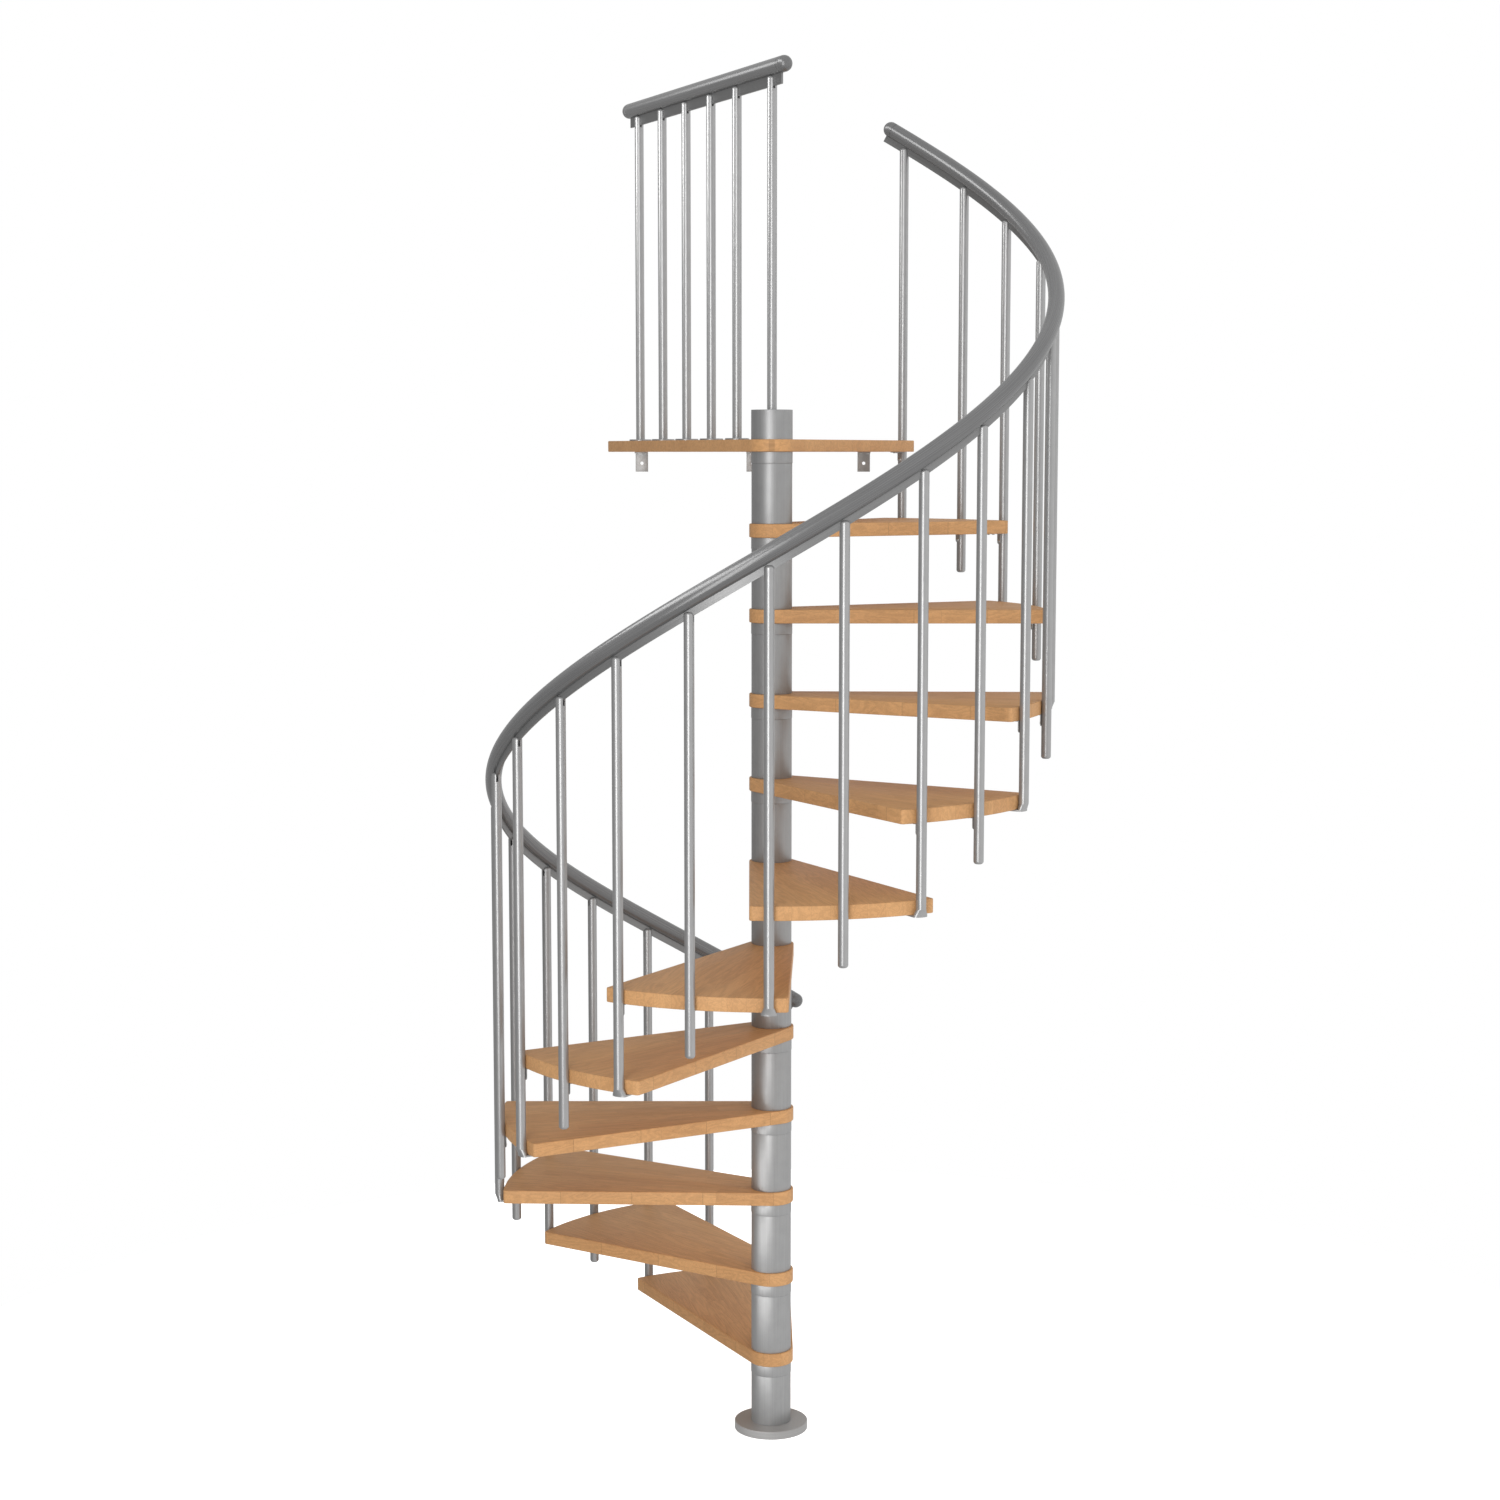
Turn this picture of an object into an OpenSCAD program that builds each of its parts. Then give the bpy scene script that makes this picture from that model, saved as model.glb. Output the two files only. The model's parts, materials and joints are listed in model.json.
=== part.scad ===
// Spiral staircase: wooden wedge treads threaded on a steel column, tube balusters and a helical handrail.
// Millimetres, +Z up. The origin is the centre of the floor flange's underside, on the column's axis.
// Seen from above the stair climbs anticlockwise.

/* [Stair] */
// Height of one step
rise = 206.7; // [185:0.1:225]
// Turn of one step about the column, in degrees
step_angle = 30; // [26:0.5:30]
// Radius of the circle that the baluster centres stand on
baluster_circle_r = 680; // [580:5:780]

/* [Column] */
// Outside diameter of the column sleeves
column_d = 99; // [90:1:105]
// Wall of a column sleeve
sleeve_wall = 3; // [2:0.5:5]
// Outside diameter of the pole inside the sleeves
pole_d = 60; // [40:1:70]
// Wall of the pole
pole_wall = 4; // [3:0.5:6]
// Outside diameter of the spacer rings under the treads
ring_d = 100.6; // [96:0.2:108]
// Height of a spacer ring
ring_h = 28; // [15:1:40]
// Height of the closed sleeve above the landing
top_sleeve_h = 71; // [40:1:100]
// Thickness of the top sleeve's lid
lid_t = 5; // [3:0.5:10]
// Diameter of the floor flange
flange_d = 183; // [140:1:240]
// Thickness of the floor flange
flange_t = 20; // [14:1:30]
// Rounding of the flange's upper edge
flange_edge_r = 2; // [1:0.5:8]

/* [Treads] */
// Thickness of the treads
tread_t = 33; // [28:1:45]
// Diameter of the round end of a tread at the column
hub_d = 110; // [106:1:130]
// How far a tread's sharp corner would reach past the baluster at its edge
corner_reach = 44; // [25:1:50]
// Rounding of a tread's outer corners
corner_r = 18; // [8:1:24]

/* [Landing] */
// Thickness of the landing
landing_t = 29.5; // [25:0.5:45]
// Distance from the column's axis to the landing's back edge
landing_back = 830; // [790:5:1000]
// Distance from the column's axis to the landing's back left corner, across
landing_left = 456; // [430:1:520]
// Turn of the landing's round edge past its baluster, in degrees
landing_arc = 3; // [2:0.5:6]

/* [Balusters] */
// Diameter of a baluster
baluster_d = 23.5; // [20:0.5:26]
// How far a middle baluster hangs below its tread
tail_drop = 106; // [60:1:130]
// Rounding of a baluster's ends
end_round = 7; // [3:0.5:9]
// Width of a baluster's pressed foot
press_w = 36; // [30:1:44]
// Height over which a baluster narrows into its pressed foot
press_h = 14; // [8:1:24]
// Thickness of the pressed foot
press_t = 4; // [3:0.5:6]

/* [Handrail] */
// Diameter of the handrail
rail_d = 40; // [36:0.5:50]
// Height of the handrail's centre above the line of the nosings
rail_height = 988; // [850:1:1050]
// Length of the handrail past the first baluster, along the rail
rail_low_end = 60; // [30:1:90]
// Length of the handrail past the last baluster, along the rail
rail_high_end = 35; // [26:1:60]
// Thickness of the flat strip under the handrail
strip_t = 5; // [4:0.5:7]
// Height of the strip that shows under the handrail
strip_show = 16; // [13:0.5:24]
// Depth of the groove in the handrail that takes the strip
groove_depth = 5; // [3:0.5:8]
// How far the strip runs on under the handrail's end caps
strip_past = 13; // [6:1:16]

/* [Landing rail] */
// Direction of the landing rail from the column's axis, in degrees from +X
guard_angle = 115.8; // [110:0.1:117]
// Height of the landing rail's centre above the landing
guard_height = 881; // [800:1:1000]
// Distance from the column's axis to the first baluster on the landing
guard_first = 203; // [180:1:220]
// Distance between the balusters on the landing
guard_pitch = 157; // [140:1:160]
// Length of the landing rail past its end balusters
guard_end = 56; // [45:1:70]
// How far the landing rail's strip ends inside the rail's ends
guard_strip_inset = 1; // [0.5:0.5:20]
// Height of the strip that shows under the landing rail
guard_strip_show = 25.5; // [18:0.5:32]
// Diameter of the round feet of the landing balusters
foot_d = 60; // [45:1:70]
// Thickness of the round feet
foot_t = 4; // [3:0.5:6]

/* [Brackets] */
// Thickness of the tread brackets
bracket_t = 2; // [1.5:0.5:4]
// Width of a tread bracket
bracket_w = 15; // [12:1:24]
// Length of a bracket under its tread
bracket_l = 42; // [30:1:60]
// Length of a bracket's leaf beside its baluster
leaf_l = 28; // [20:1:40]
// Width of a wall bracket
wall_bracket_w = 34; // [28:1:50]
// Drop of a wall bracket below the landing
wall_bracket_drop = 54; // [42:1:80]
// Length of a wall bracket under the landing
wall_bracket_l = 48; // [35:1:70]
// Thickness of a wall bracket
wall_bracket_t = 4; // [3:0.5:6]
// Diameter of the screw hole in a wall bracket
wall_hole_d = 9; // [6:0.5:12]
// Distance from the landing down to the screw hole
wall_hole_drop = 31; // [20:1:36]
// Distance from the landing's left end to the left wall bracket
wall_bracket_left_in = 93; // [60:1:140]
// Distance from the landing's right end to the right wall bracket
wall_bracket_right_in = 59; // [30:1:100]

/* [Hidden] */
$fn = 96;
tread_count = 11;
// The first nosing lies along +Y
first_angle = 90;
guard_count = 5;
// Small turns of the middle balusters off the middle of their treads, tread by tread, in degrees
middle_turns = [0, 0, 0, 0, 0.8, 0, -1, -0.7, -0.9, -1.2, -1.1];
// Gap between pieces that only lie beside each other
seat_gap = 0.3;
// Overrun of every cut, and the lap of joined solids
over = 1;
rail_sides = 20;
rail_rings = 96;
arc_steps = 24;
corner_steps = 8;

// Straight part of the rails' end caps, before their dome
cap_collar = 10;
// A bracket leaf ends in a half circle
leaf_r = bracket_w / 2;
// How far a pressed foot draws in from its baluster's outer side, and the rounding of its corners
press_draw = 6;
press_corner_r = 5;
press_sides = 32;
// Depth of a landing baluster's slot below the strip
guard_slot_extra = 5;

column_r = column_d / 2;
pole_r = pole_d / 2;
ring_r = ring_d / 2;
hub_r = hub_d / 2;
flange_r = flange_d / 2;
baluster_r = baluster_d / 2;
rail_r = rail_d / 2;
bore_r = pole_r + seat_gap;
tread_r = baluster_circle_r - baluster_r - seat_gap;
// The landing's underside follows those of the treads
landing_under = (tread_count + 1) * rise - tread_t;
landing_top = landing_under + landing_t;
column_top = landing_top + top_sleeve_h;
last_angle = first_angle + tread_count * step_angle;
landing_right = tread_r * cos(last_angle + landing_arc);

// Length of the baluster circle that one degree of turn covers, and the rail's slope along it
mm_per_degree = baluster_circle_r * PI / 180;
rail_slope = atan(rise / (step_angle * mm_per_degree));
turn_per_mm = cos(rail_slope) / mm_per_degree;
groove_half_w = strip_t / 2 + seat_gap;
guard_z = landing_top + guard_height;

function two_digits(number) = number < 10 ? str("0", number) : str(number);
function nosing_angle(step) = first_angle + (step - 1) * step_angle;
function middle_angle(step) = nosing_angle(step) + step_angle / 2;
function middle_turn(step) = (step - 1 / 2) * step_angle + middle_turns[step - 1];
function tread_top(step) = step * rise;
function tread_under(step) = tread_top(step) - tread_t;
function polar(radius, angle) = [radius * cos(angle), radius * sin(angle)];
function rail_z(turn) = rail_height + turn * rise / step_angle;

wood = "peru";
silver = "silver";
grey = "dimgray";

// Column

module ring(outer, inner, z, height) {
    translate([0, 0, z])
        difference() {
            cylinder(r = outer, h = height);
            translate([0, 0, -over])
                cylinder(r = inner, h = height + 2 * over);
        }
}

module floor_flange() {
    color(silver)
        rotate_extrude()
            union() {
                square([flange_r - flange_edge_r, flange_t]);
                square([flange_r, flange_t - flange_edge_r]);
                translate([flange_r - flange_edge_r, flange_t - flange_edge_r])
                    intersection() {
                        circle(r = flange_edge_r);
                        square(flange_edge_r);
                    }
            }
}

module central_pole() {
    color(silver)
        ring(pole_r, pole_r - pole_wall, flange_t, column_top - lid_t - flange_t);
}

// One sleeve stands on the flange and one on each tread, up to the next spacer ring
module column_sleeves() {
    color(silver)
        for (step = [1:tread_count + 1]) {
            foot = step == 1 ? flange_t : tread_top(step - 1);
            ring(column_r, column_r - sleeve_wall, foot, tread_under(step) - ring_h - foot);
        }
}

module spacer_rings() {
    color(silver)
        for (step = [1:tread_count + 1])
            ring(ring_r, bore_r, tread_under(step) - ring_h, ring_h);
}

module top_sleeve() {
    color(silver)
        translate([0, 0, landing_top])
            difference() {
                cylinder(r = ring_r, h = top_sleeve_h);
                translate([0, 0, -over])
                    cylinder(r = ring_r - sleeve_wall, h = top_sleeve_h - lid_t + over);
            }
}

// Treads and landing, drawn with the tread's middle line along +X

// Half angle to a tread's sharp corner, the slant of its edge and the place of its corner's rounding
corner_angle = step_angle / 2 + asin(corner_reach / tread_r);
edge_slant = corner_angle - asin(hub_r / tread_r);
round_angle = edge_slant + asin((hub_r - corner_r) / (tread_r - corner_r));

// Points along an arc, from one direction to another
function arc_points(centre, radius, from_angle, to_angle, steps) =
    [for (i = [0:steps]) centre + polar(radius, from_angle + (to_angle - from_angle) * i / steps)];

// Rounded corner between a straight edge and the round outer edge, about a tread's middle direction
function front_corner(middle) = arc_points(
    polar(tread_r - corner_r, middle - round_angle), corner_r,
    middle - 90 - edge_slant, middle - round_angle, corner_steps
);

function back_corner(middle) = arc_points(
    polar(tread_r - corner_r, middle + round_angle), corner_r,
    middle + round_angle, middle + 90 + edge_slant, corner_steps
);

module tread_outline() {
    polygon(concat(
        front_corner(0),
        arc_points([0, 0], tread_r, -round_angle, round_angle, arc_steps),
        back_corner(0),
        arc_points([0, 0], hub_r, 90 + edge_slant, 270 - edge_slant, arc_steps)
    ));
}

// Landing: a tread's front edge and corner, then a straight back edge and a straight left side
module landing_outline() {
    middle = last_angle + step_angle / 2;
    arc_end = last_angle + landing_arc;
    left_corner = [-landing_left, landing_back];
    left_angle = atan2(landing_back, -landing_left);
    left_tangent = left_angle + acos(hub_r / norm(left_corner));
    polygon(concat(
        front_corner(middle),
        arc_points([0, 0], tread_r, middle - round_angle, arc_end, corner_steps),
        [[landing_right, landing_back], left_corner],
        arc_points([0, 0], hub_r, left_tangent, middle - 90 - edge_slant, arc_steps)
    ));
}

module bored_board(under, thickness) {
    translate([0, 0, under])
        difference() {
            linear_extrude(height = thickness)
                children();
            translate([0, 0, -over])
                cylinder(r = bore_r, h = thickness + 2 * over);
        }
}

module tread(step) {
    color(wood)
        rotate(middle_angle(step))
            bored_board(tread_under(step), tread_t)
                tread_outline();
}

module landing() {
    color(wood)
        bored_board(landing_under, landing_t)
            landing_outline();
}

// Balusters

// Round bar with a rounded top, and a rounded foot too if it hangs free
module bar(z_low, z_high, round_foot = false) {
    flat_r = baluster_r - end_round;
    z_straight = round_foot ? z_low + end_round : z_low;
    rotate_extrude()
        union() {
            translate([0, z_low])
                square([flat_r, z_high - z_low]);
            translate([0, z_straight])
                square([baluster_r, z_high - end_round - z_straight]);
            translate([flat_r, z_high - end_round])
                intersection() {
                    circle(r = end_round);
                    square(end_round);
                }
            if (round_foot)
                translate([flat_r, z_straight])
                    intersection() {
                        circle(r = end_round);
                        translate([0, -end_round])
                            square(end_round);
                    }
        }
}

// Bar whose top is slotted along Y for a strip
module slotted_bar(z_low, z_high, slot_floor, round_foot = false) {
    difference() {
        bar(z_low, z_high, round_foot);
        translate([-groove_half_w, -baluster_r - over, slot_floor])
            cube([2 * groove_half_w, baluster_d + 2 * over, z_high + over - slot_floor]);
    }
}

// Places a baluster at a turn from the first nosing
module at_turn(turn) {
    rotate(first_angle + turn)
        translate([baluster_circle_r, 0, 0])
            children();
}

// Baluster under the handrail; its rounded top stays clear of the rail's sloping underside
module stair_baluster(turn, z_low, round_foot = false) {
    rail_low = rail_z(turn) - rail_r / cos(rail_slope);
    shoulder_drop = (baluster_r - end_round) * tan(rail_slope) + (end_round + seat_gap) / cos(rail_slope);
    z_high = rail_low - shoulder_drop + end_round;
    strip_low = rail_low - strip_show / cos(rail_slope);
    slot_floor = strip_low - baluster_r * tan(rail_slope) - seat_gap;
    at_turn(turn)
        slotted_bar(z_low, z_high, slot_floor, round_foot);
}

// Foot of a baluster: the tube pressed flat and bent in under its tread
module pressed_foot(turn, under) {
    outer_x = baluster_r - press_draw - press_corner_r;
    at_turn(turn)
        translate([0, 0, under]) {
            hull() {
                translate([0, 0, press_h - over])
                    cylinder(r = baluster_r, h = over, $fn = press_sides);
                for (side = [-1, 1])
                    translate([outer_x, side * (press_w / 2 - press_corner_r), -press_t])
                        cylinder(r = press_corner_r, h = press_t, $fn = press_sides);
                translate([-baluster_r, -press_w / 2, -press_t])
                    cube([press_corner_r, press_w, press_t]);
            }
            translate([-baluster_r - seat_gap - bracket_l, -press_w / 2, -press_t])
                cube([bracket_l + seat_gap + press_corner_r, press_w, press_t]);
        }
}

// A tread's middle baluster, which hangs below it, and the one pressed flat under its back corner
module balusters(step) {
    color(silver) {
        stair_baluster(middle_turn(step), tread_under(step) - tail_drop, true);
        stair_baluster(step * step_angle, tread_under(step) + press_h - over);
        pressed_foot(step * step_angle, tread_under(step));
    }
}

module first_baluster() {
    color(silver)
        stair_baluster(0, 0);
}

// Baluster under the landing rail, at a distance from the column's axis
module guard_baluster(distance, z_low) {
    z_high = guard_z - rail_r - seat_gap;
    slot_floor = guard_z - rail_r - guard_strip_show - guard_slot_extra;
    rotate(guard_angle)
        translate([distance, 0, 0])
            rotate(90)
                slotted_bar(z_low, z_high, slot_floor);
}

module landing_balusters() {
    color(silver)
        for (place = [0:guard_count - 1])
            guard_baluster(guard_first + place * guard_pitch, landing_top + foot_t);
}

module landing_baluster_feet() {
    color(silver)
        for (place = [0:guard_count - 1])
            rotate(guard_angle)
                translate([guard_first + place * guard_pitch, 0, landing_top])
                    cylinder(d = foot_d, h = foot_t);
}

module column_baluster() {
    color(silver)
        guard_baluster(0, column_top);
}

// Brackets

// Angle bracket: a plate under the tread and a round-ended leaf beside the baluster
module tread_bracket(angle, under) {
    rotate(angle)
        translate([tread_r, 0, under]) {
            translate([-bracket_l, -bracket_w / 2, -bracket_t])
                cube([bracket_l, bracket_w, bracket_t]);
            translate([-bracket_t, 0, 0])
                rotate([90, 0, 90])
                    linear_extrude(height = bracket_t)
                        union() {
                            translate([-bracket_w / 2, -leaf_l + leaf_r])
                                square([bracket_w, leaf_l - leaf_r]);
                            translate([0, -leaf_l + leaf_r])
                                circle(r = leaf_r);
                        }
        }
}

module tread_brackets() {
    color(silver) {
        for (step = [1:tread_count]) {
            tread_bracket(nosing_angle(step), tread_under(step));
            tread_bracket(first_angle + middle_turn(step), tread_under(step));
        }
        tread_bracket(last_angle, landing_under);
    }
}

// The middle wall bracket stands halfway between the outer two
wall_left_x = wall_bracket_left_in - landing_left;
wall_right_x = landing_right - wall_bracket_right_in;
wall_middle_x = (wall_left_x + wall_right_x) / 2;

// Angle bracket under the landing's back edge, with a screw hole towards the wall
module wall_bracket(across) {
    color(silver)
        translate([across, landing_back, landing_under])
            difference() {
                translate([-wall_bracket_w / 2, 0, 0])
                    rotate([90, 0, 90])
                        linear_extrude(height = wall_bracket_w)
                            polygon([
                                [0, 0],
                                [-wall_bracket_l, 0],
                                [-wall_bracket_l, -wall_bracket_t],
                                [-wall_bracket_t, -wall_bracket_t],
                                [-wall_bracket_t, -wall_bracket_drop],
                                [0, -wall_bracket_drop]
                            ]);
                translate([0, over, -wall_hole_drop])
                    rotate([90, 0, 0])
                        cylinder(d = wall_hole_d, h = wall_bracket_t + 2 * over);
            }
}

// Handrail

// Point of a section that stands square to the helix, out along the radius and up across the slope
function helix_point(turn, offset) =
    let (
        angle = first_angle + turn,
        radius = baluster_circle_r + offset[0],
        back = offset[1] * sin(rail_slope)
    )
    [
        radius * cos(angle) + back * sin(angle),
        radius * sin(angle) - back * cos(angle),
        rail_z(turn) + offset[1] * cos(rail_slope)
    ];

// Solid swept along the helix from one turn to another; the section runs anticlockwise
module helix_sweep(section, turn_low, turn_high, rings) {
    sides = len(section);
    points = [
        for (ring = [0:rings - 1], offset = section)
            helix_point(turn_low + (turn_high - turn_low) * ring / (rings - 1), offset)
    ];
    low_cap = [for (side = [sides - 1:-1:0]) side];
    high_cap = [for (side = [0:sides - 1]) (rings - 1) * sides + side];
    skin = [
        for (ring = [0:rings - 2], side = [0:sides - 1])
            let (
                a = ring * sides + side,
                b = ring * sides + (side + 1) % sides
            )
            each [[a, b, b + sides], [a, b + sides, a + sides]]
    ];
    polyhedron(points = points, faces = concat([low_cap], skin, [high_cap]));
}

rail_turn_low = -rail_low_end * turn_per_mm;
rail_turn_high = tread_count * step_angle + rail_high_end * turn_per_mm;
strip_past_turn = strip_past * turn_per_mm;

// Round section with a groove along its underside
function rail_section() =
    let (groove_angle = asin(groove_half_w / rail_r))
    concat(
        [for (side = [0:rail_sides - 1])
            polar(rail_r, -90 + groove_angle + side * (360 - 2 * groove_angle) / (rail_sides - 1))],
        [[-groove_half_w, groove_depth - rail_r], [groove_half_w, groove_depth - rail_r]]
    );

function strip_section() =
    let (
        low = -rail_r - strip_show,
        high = groove_depth - rail_r - seat_gap,
        half_t = strip_t / 2
    )
    [[half_t, low], [half_t, high], [-half_t, high], [-half_t, low]];

module handrail() {
    color(grey)
        helix_sweep(rail_section(), rail_turn_low, rail_turn_high, rail_rings);
}

module handrail_strip() {
    color(silver)
        helix_sweep(
            strip_section(), rail_turn_low - strip_past_turn, rail_turn_high + strip_past_turn, rail_rings
        );
}

// Collar and dome that close a rail's end, with the dome along +X
module end_cap() {
    rotate([0, 90, 0])
        rotate_extrude()
            union() {
                square([rail_r, cap_collar]);
                translate([0, cap_collar])
                    intersection() {
                        circle(r = rail_r);
                        square(rail_r);
                    }
            }
}

// Cap of the handrail, slotted below for the end of the strip
module handrail_cap(turn, heading) {
    rotate(first_angle + turn)
        translate([baluster_circle_r, 0, rail_z(turn)])
            rotate([rail_slope, 0, 0])
                rotate(heading)
                    difference() {
                        end_cap();
                        translate([-over, -groove_half_w, -rail_r - over])
                            cube([over + strip_past + seat_gap, 2 * groove_half_w, groove_depth + over]);
                    }
}

module handrail_caps() {
    color(grey) {
        handrail_cap(rail_turn_low, -90);
        handrail_cap(rail_turn_high, 90);
    }
}

// Landing rail, drawn along +X from the column's axis

guard_last = guard_first + (guard_count - 1) * guard_pitch;
guard_strip_end = guard_end - guard_strip_inset;

module landing_rail() {
    color(grey)
        rotate(guard_angle)
            translate([-guard_end, 0, guard_z])
                rotate([0, 90, 0])
                    linear_extrude(height = guard_last + 2 * guard_end)
                        difference() {
                            circle(r = rail_r);
                            translate([rail_r - groove_depth, -groove_half_w])
                                square([groove_depth + over, 2 * groove_half_w]);
                        }
}

module landing_rail_strip() {
    height = guard_strip_show + groove_depth - seat_gap;
    color(silver)
        rotate(guard_angle)
            translate([-guard_strip_end, -strip_t / 2, guard_z - rail_r - guard_strip_show])
                cube([guard_last + 2 * guard_strip_end, strip_t, height]);
}

module landing_rail_caps() {
    color(grey)
        rotate(guard_angle)
            translate([0, 0, guard_z]) {
                translate([guard_last + guard_end, 0, 0])
                    end_cap();
                translate([-guard_end, 0, 0])
                    rotate(180)
                        end_cap();
            }
}

floor_flange();
central_pole();
column_sleeves();
spacer_rings();
top_sleeve();
for (step = [1:tread_count])
    tread(step);
landing();
for (step = [1:tread_count])
    balusters(step);
first_baluster();
landing_balusters();
landing_baluster_feet();
column_baluster();
tread_brackets();
handrail();
handrail_strip();
handrail_caps();
landing_rail();
landing_rail_strip();
landing_rail_caps();
wall_bracket(wall_left_x);  // wall_bracket_left
wall_bracket(wall_middle_x);  // wall_bracket_middle
wall_bracket(wall_right_x);  // wall_bracket_right
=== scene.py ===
"""Dresses the spiral staircase: oak boards, silver painted steel, a grey handrail and a pale stage."""

import json
import math

import bpy
from bpy.props import FloatProperty, FloatVectorProperty, IntProperty, PointerProperty
from mathutils import Matrix, Vector

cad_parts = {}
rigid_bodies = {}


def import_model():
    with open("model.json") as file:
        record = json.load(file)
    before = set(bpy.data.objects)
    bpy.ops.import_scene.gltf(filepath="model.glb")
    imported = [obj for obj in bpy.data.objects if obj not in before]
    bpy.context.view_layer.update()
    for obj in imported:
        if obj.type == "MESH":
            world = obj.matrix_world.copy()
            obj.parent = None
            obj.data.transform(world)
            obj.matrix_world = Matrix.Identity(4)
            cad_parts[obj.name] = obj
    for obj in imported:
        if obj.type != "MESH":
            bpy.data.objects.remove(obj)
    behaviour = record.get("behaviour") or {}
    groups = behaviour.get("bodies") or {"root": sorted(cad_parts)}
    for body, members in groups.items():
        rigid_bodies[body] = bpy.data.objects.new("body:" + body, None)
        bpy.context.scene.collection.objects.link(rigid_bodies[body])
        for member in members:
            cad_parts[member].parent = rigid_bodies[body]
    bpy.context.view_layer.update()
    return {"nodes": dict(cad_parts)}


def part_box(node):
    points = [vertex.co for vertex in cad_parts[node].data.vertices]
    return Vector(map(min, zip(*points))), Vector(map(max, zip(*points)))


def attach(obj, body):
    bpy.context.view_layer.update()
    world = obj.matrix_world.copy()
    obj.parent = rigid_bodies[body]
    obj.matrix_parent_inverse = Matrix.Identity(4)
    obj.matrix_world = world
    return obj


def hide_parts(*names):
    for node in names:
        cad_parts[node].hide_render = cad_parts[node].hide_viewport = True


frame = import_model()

bl_info = {
    "name": "Spiral staircase",
    "version": (1, 0, 0),
    "blender": (4, 5, 0),
    "location": "View3D > Sidebar > Staircase",
    "description": "Models and paints the boards, column, balusters and rails of a spiral staircase",
    "category": "Object",
}

BODY = "root"

# Sizes that the frame gives, in metres


def low_of(node):
    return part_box(node)[0]


def high_of(node):
    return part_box(node)[1]


def size_of(node):
    return high_of(node) - low_of(node)


def middle_of(node):
    return (high_of(node) + low_of(node)) / 2


TREADS = sorted(name for name in frame["nodes"] if name.startswith("tread_0") or name.startswith("tread_1"))
STEP_TURN = math.radians(30)
FIRST_TURN = math.radians(90)
LAST_TURN = STEP_TURN * len(TREADS)
RISE = high_of(TREADS[1]).z - high_of(TREADS[0]).z
BOARD_T = size_of(TREADS[0]).z
LANDING_T = size_of("landing").z
LANDING_TOP = high_of("landing").z
LANDING_UNDER = low_of("landing").z
COLUMN_R = size_of("column_sleeves").x / 2
RING_R = size_of("spacer_rings").x / 2
RING_H = low_of(TREADS[0]).z - low_of("spacer_rings").z
FLANGE_R = size_of("floor_flange").x / 2
FLANGE_T = size_of("floor_flange").z
TOP_SLEEVE_H = size_of("top_sleeve").z
POLE_R = size_of("central_pole").x / 2
BALUSTER_R = size_of("first_baluster").x / 2
CIRCLE_R = middle_of("first_baluster").y
SEAT_GAP = 0.0003
TREAD_R = CIRCLE_R - BALUSTER_R - SEAT_GAP
RAIL_R = size_of("handrail").x / 2 - CIRCLE_R
RAIL_SLOPE = math.atan(RISE / (STEP_TURN * CIRCLE_R))
# Small turns of the middle balusters off the middle of their treads, tread by tread
MIDDLE_TURNS = [math.radians(turn) for turn in (0, 0, 0, 0, 0.8, 0, -1, -0.7, -0.9, -1.2, -1.1)]
# Distance under which points are welded, greatest bend shaded smooth and least bend that is eased
WELD = 1e-5
SMOOTH = math.radians(32)
EASED_BEND = math.radians(40)
# Steps of the arcs, by what they round
EDGE_STEPS = 3
RIM_STEPS = 4
FLANGE_STEPS = 5
SCREW_STEPS = 6
CORNER_STEPS = 8
BAR_END_STEPS = 8
LANDING_STEPS = 10
LEAF_STEPS = 12
DOME_STEPS = 14
TREAD_STEPS = 32
# Segments of an eased edge
WOOD_BEVELS = 3
METAL_BEVELS = 2
# Sides of the round pieces that have no setting of their own
SCREW_SIDES = 20
HOLE_SIDES = 32
BORE_SIDES = 48
FOOT_SIDES = 48
FLOOR_SIDES = 128
# Part of its range that most of a noise lies in
NOISE_MIDDLE = (0.3, 0.7)
# Where the wood grain of a tread starts, and its shift from tread to tread
GRAIN_START = Vector((3, 5, 0))
GRAIN_STEP = Vector((0.61, 0.377, 0.13))
LANDING_GRAIN = Vector((9.3, 11.02, 0.4))
# Rise of the screw heads by their radius
SCREW_RISE_SHARE = 0.5
LEAF_SCREW_RISE_SHARE = 0.35
# Cross recess of a screw head: half length and half width by its radius, height of its floor by its rise
RECESS_LONG_SHARE = 0.55
RECESS_WIDE_SHARE = 0.12
RECESS_FLOOR_SHARE = 0.55
# Places of the screws along a bracket, and of those in a foot's tab, by the bracket's length
SCREW_REACH_SHARES = (0.45, 0.80)
TAB_REACH_SHARE = 0.62
# Easing of a foot's tab by its thickness, and rise of an end cap's collar by its seam
TAB_EASING_SHARE = 0.125
COLLAR_RISE_SHARE = 1.6
SENSOR_W = 36.0
# Light of the room: its level, and how it grows along each axis
ROOM_LEVEL = 0.70
ROOM_SLANT = (0.40, -0.03, 0.04)
# Width, height, place and aim of each lamp, in metres
LAMPS = {
    "key": (2.5, 5.8, (-1.7, -6.4, 2.2), (0, 0, 2.2)),
    "side": (7.6, 2.0, (-4.35, -1.5, 5.8), (0, 0, 2.8)),
    "back": (0.45, 0.45, (-1.45, 1.2, 3.8), (0, 0, 3.36)),
    "left": (1.0, 1.0, (-2.2, 0.1, 3.8), (0, 0.3, 3.1)),
    "low": (1.3, 0.3, (-1.15, -0.9, 0.2), (0, 0, 0.2)),
}
# Uppermost treads whose balusters the left lamp lights
TOP_TREADS = 3


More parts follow.
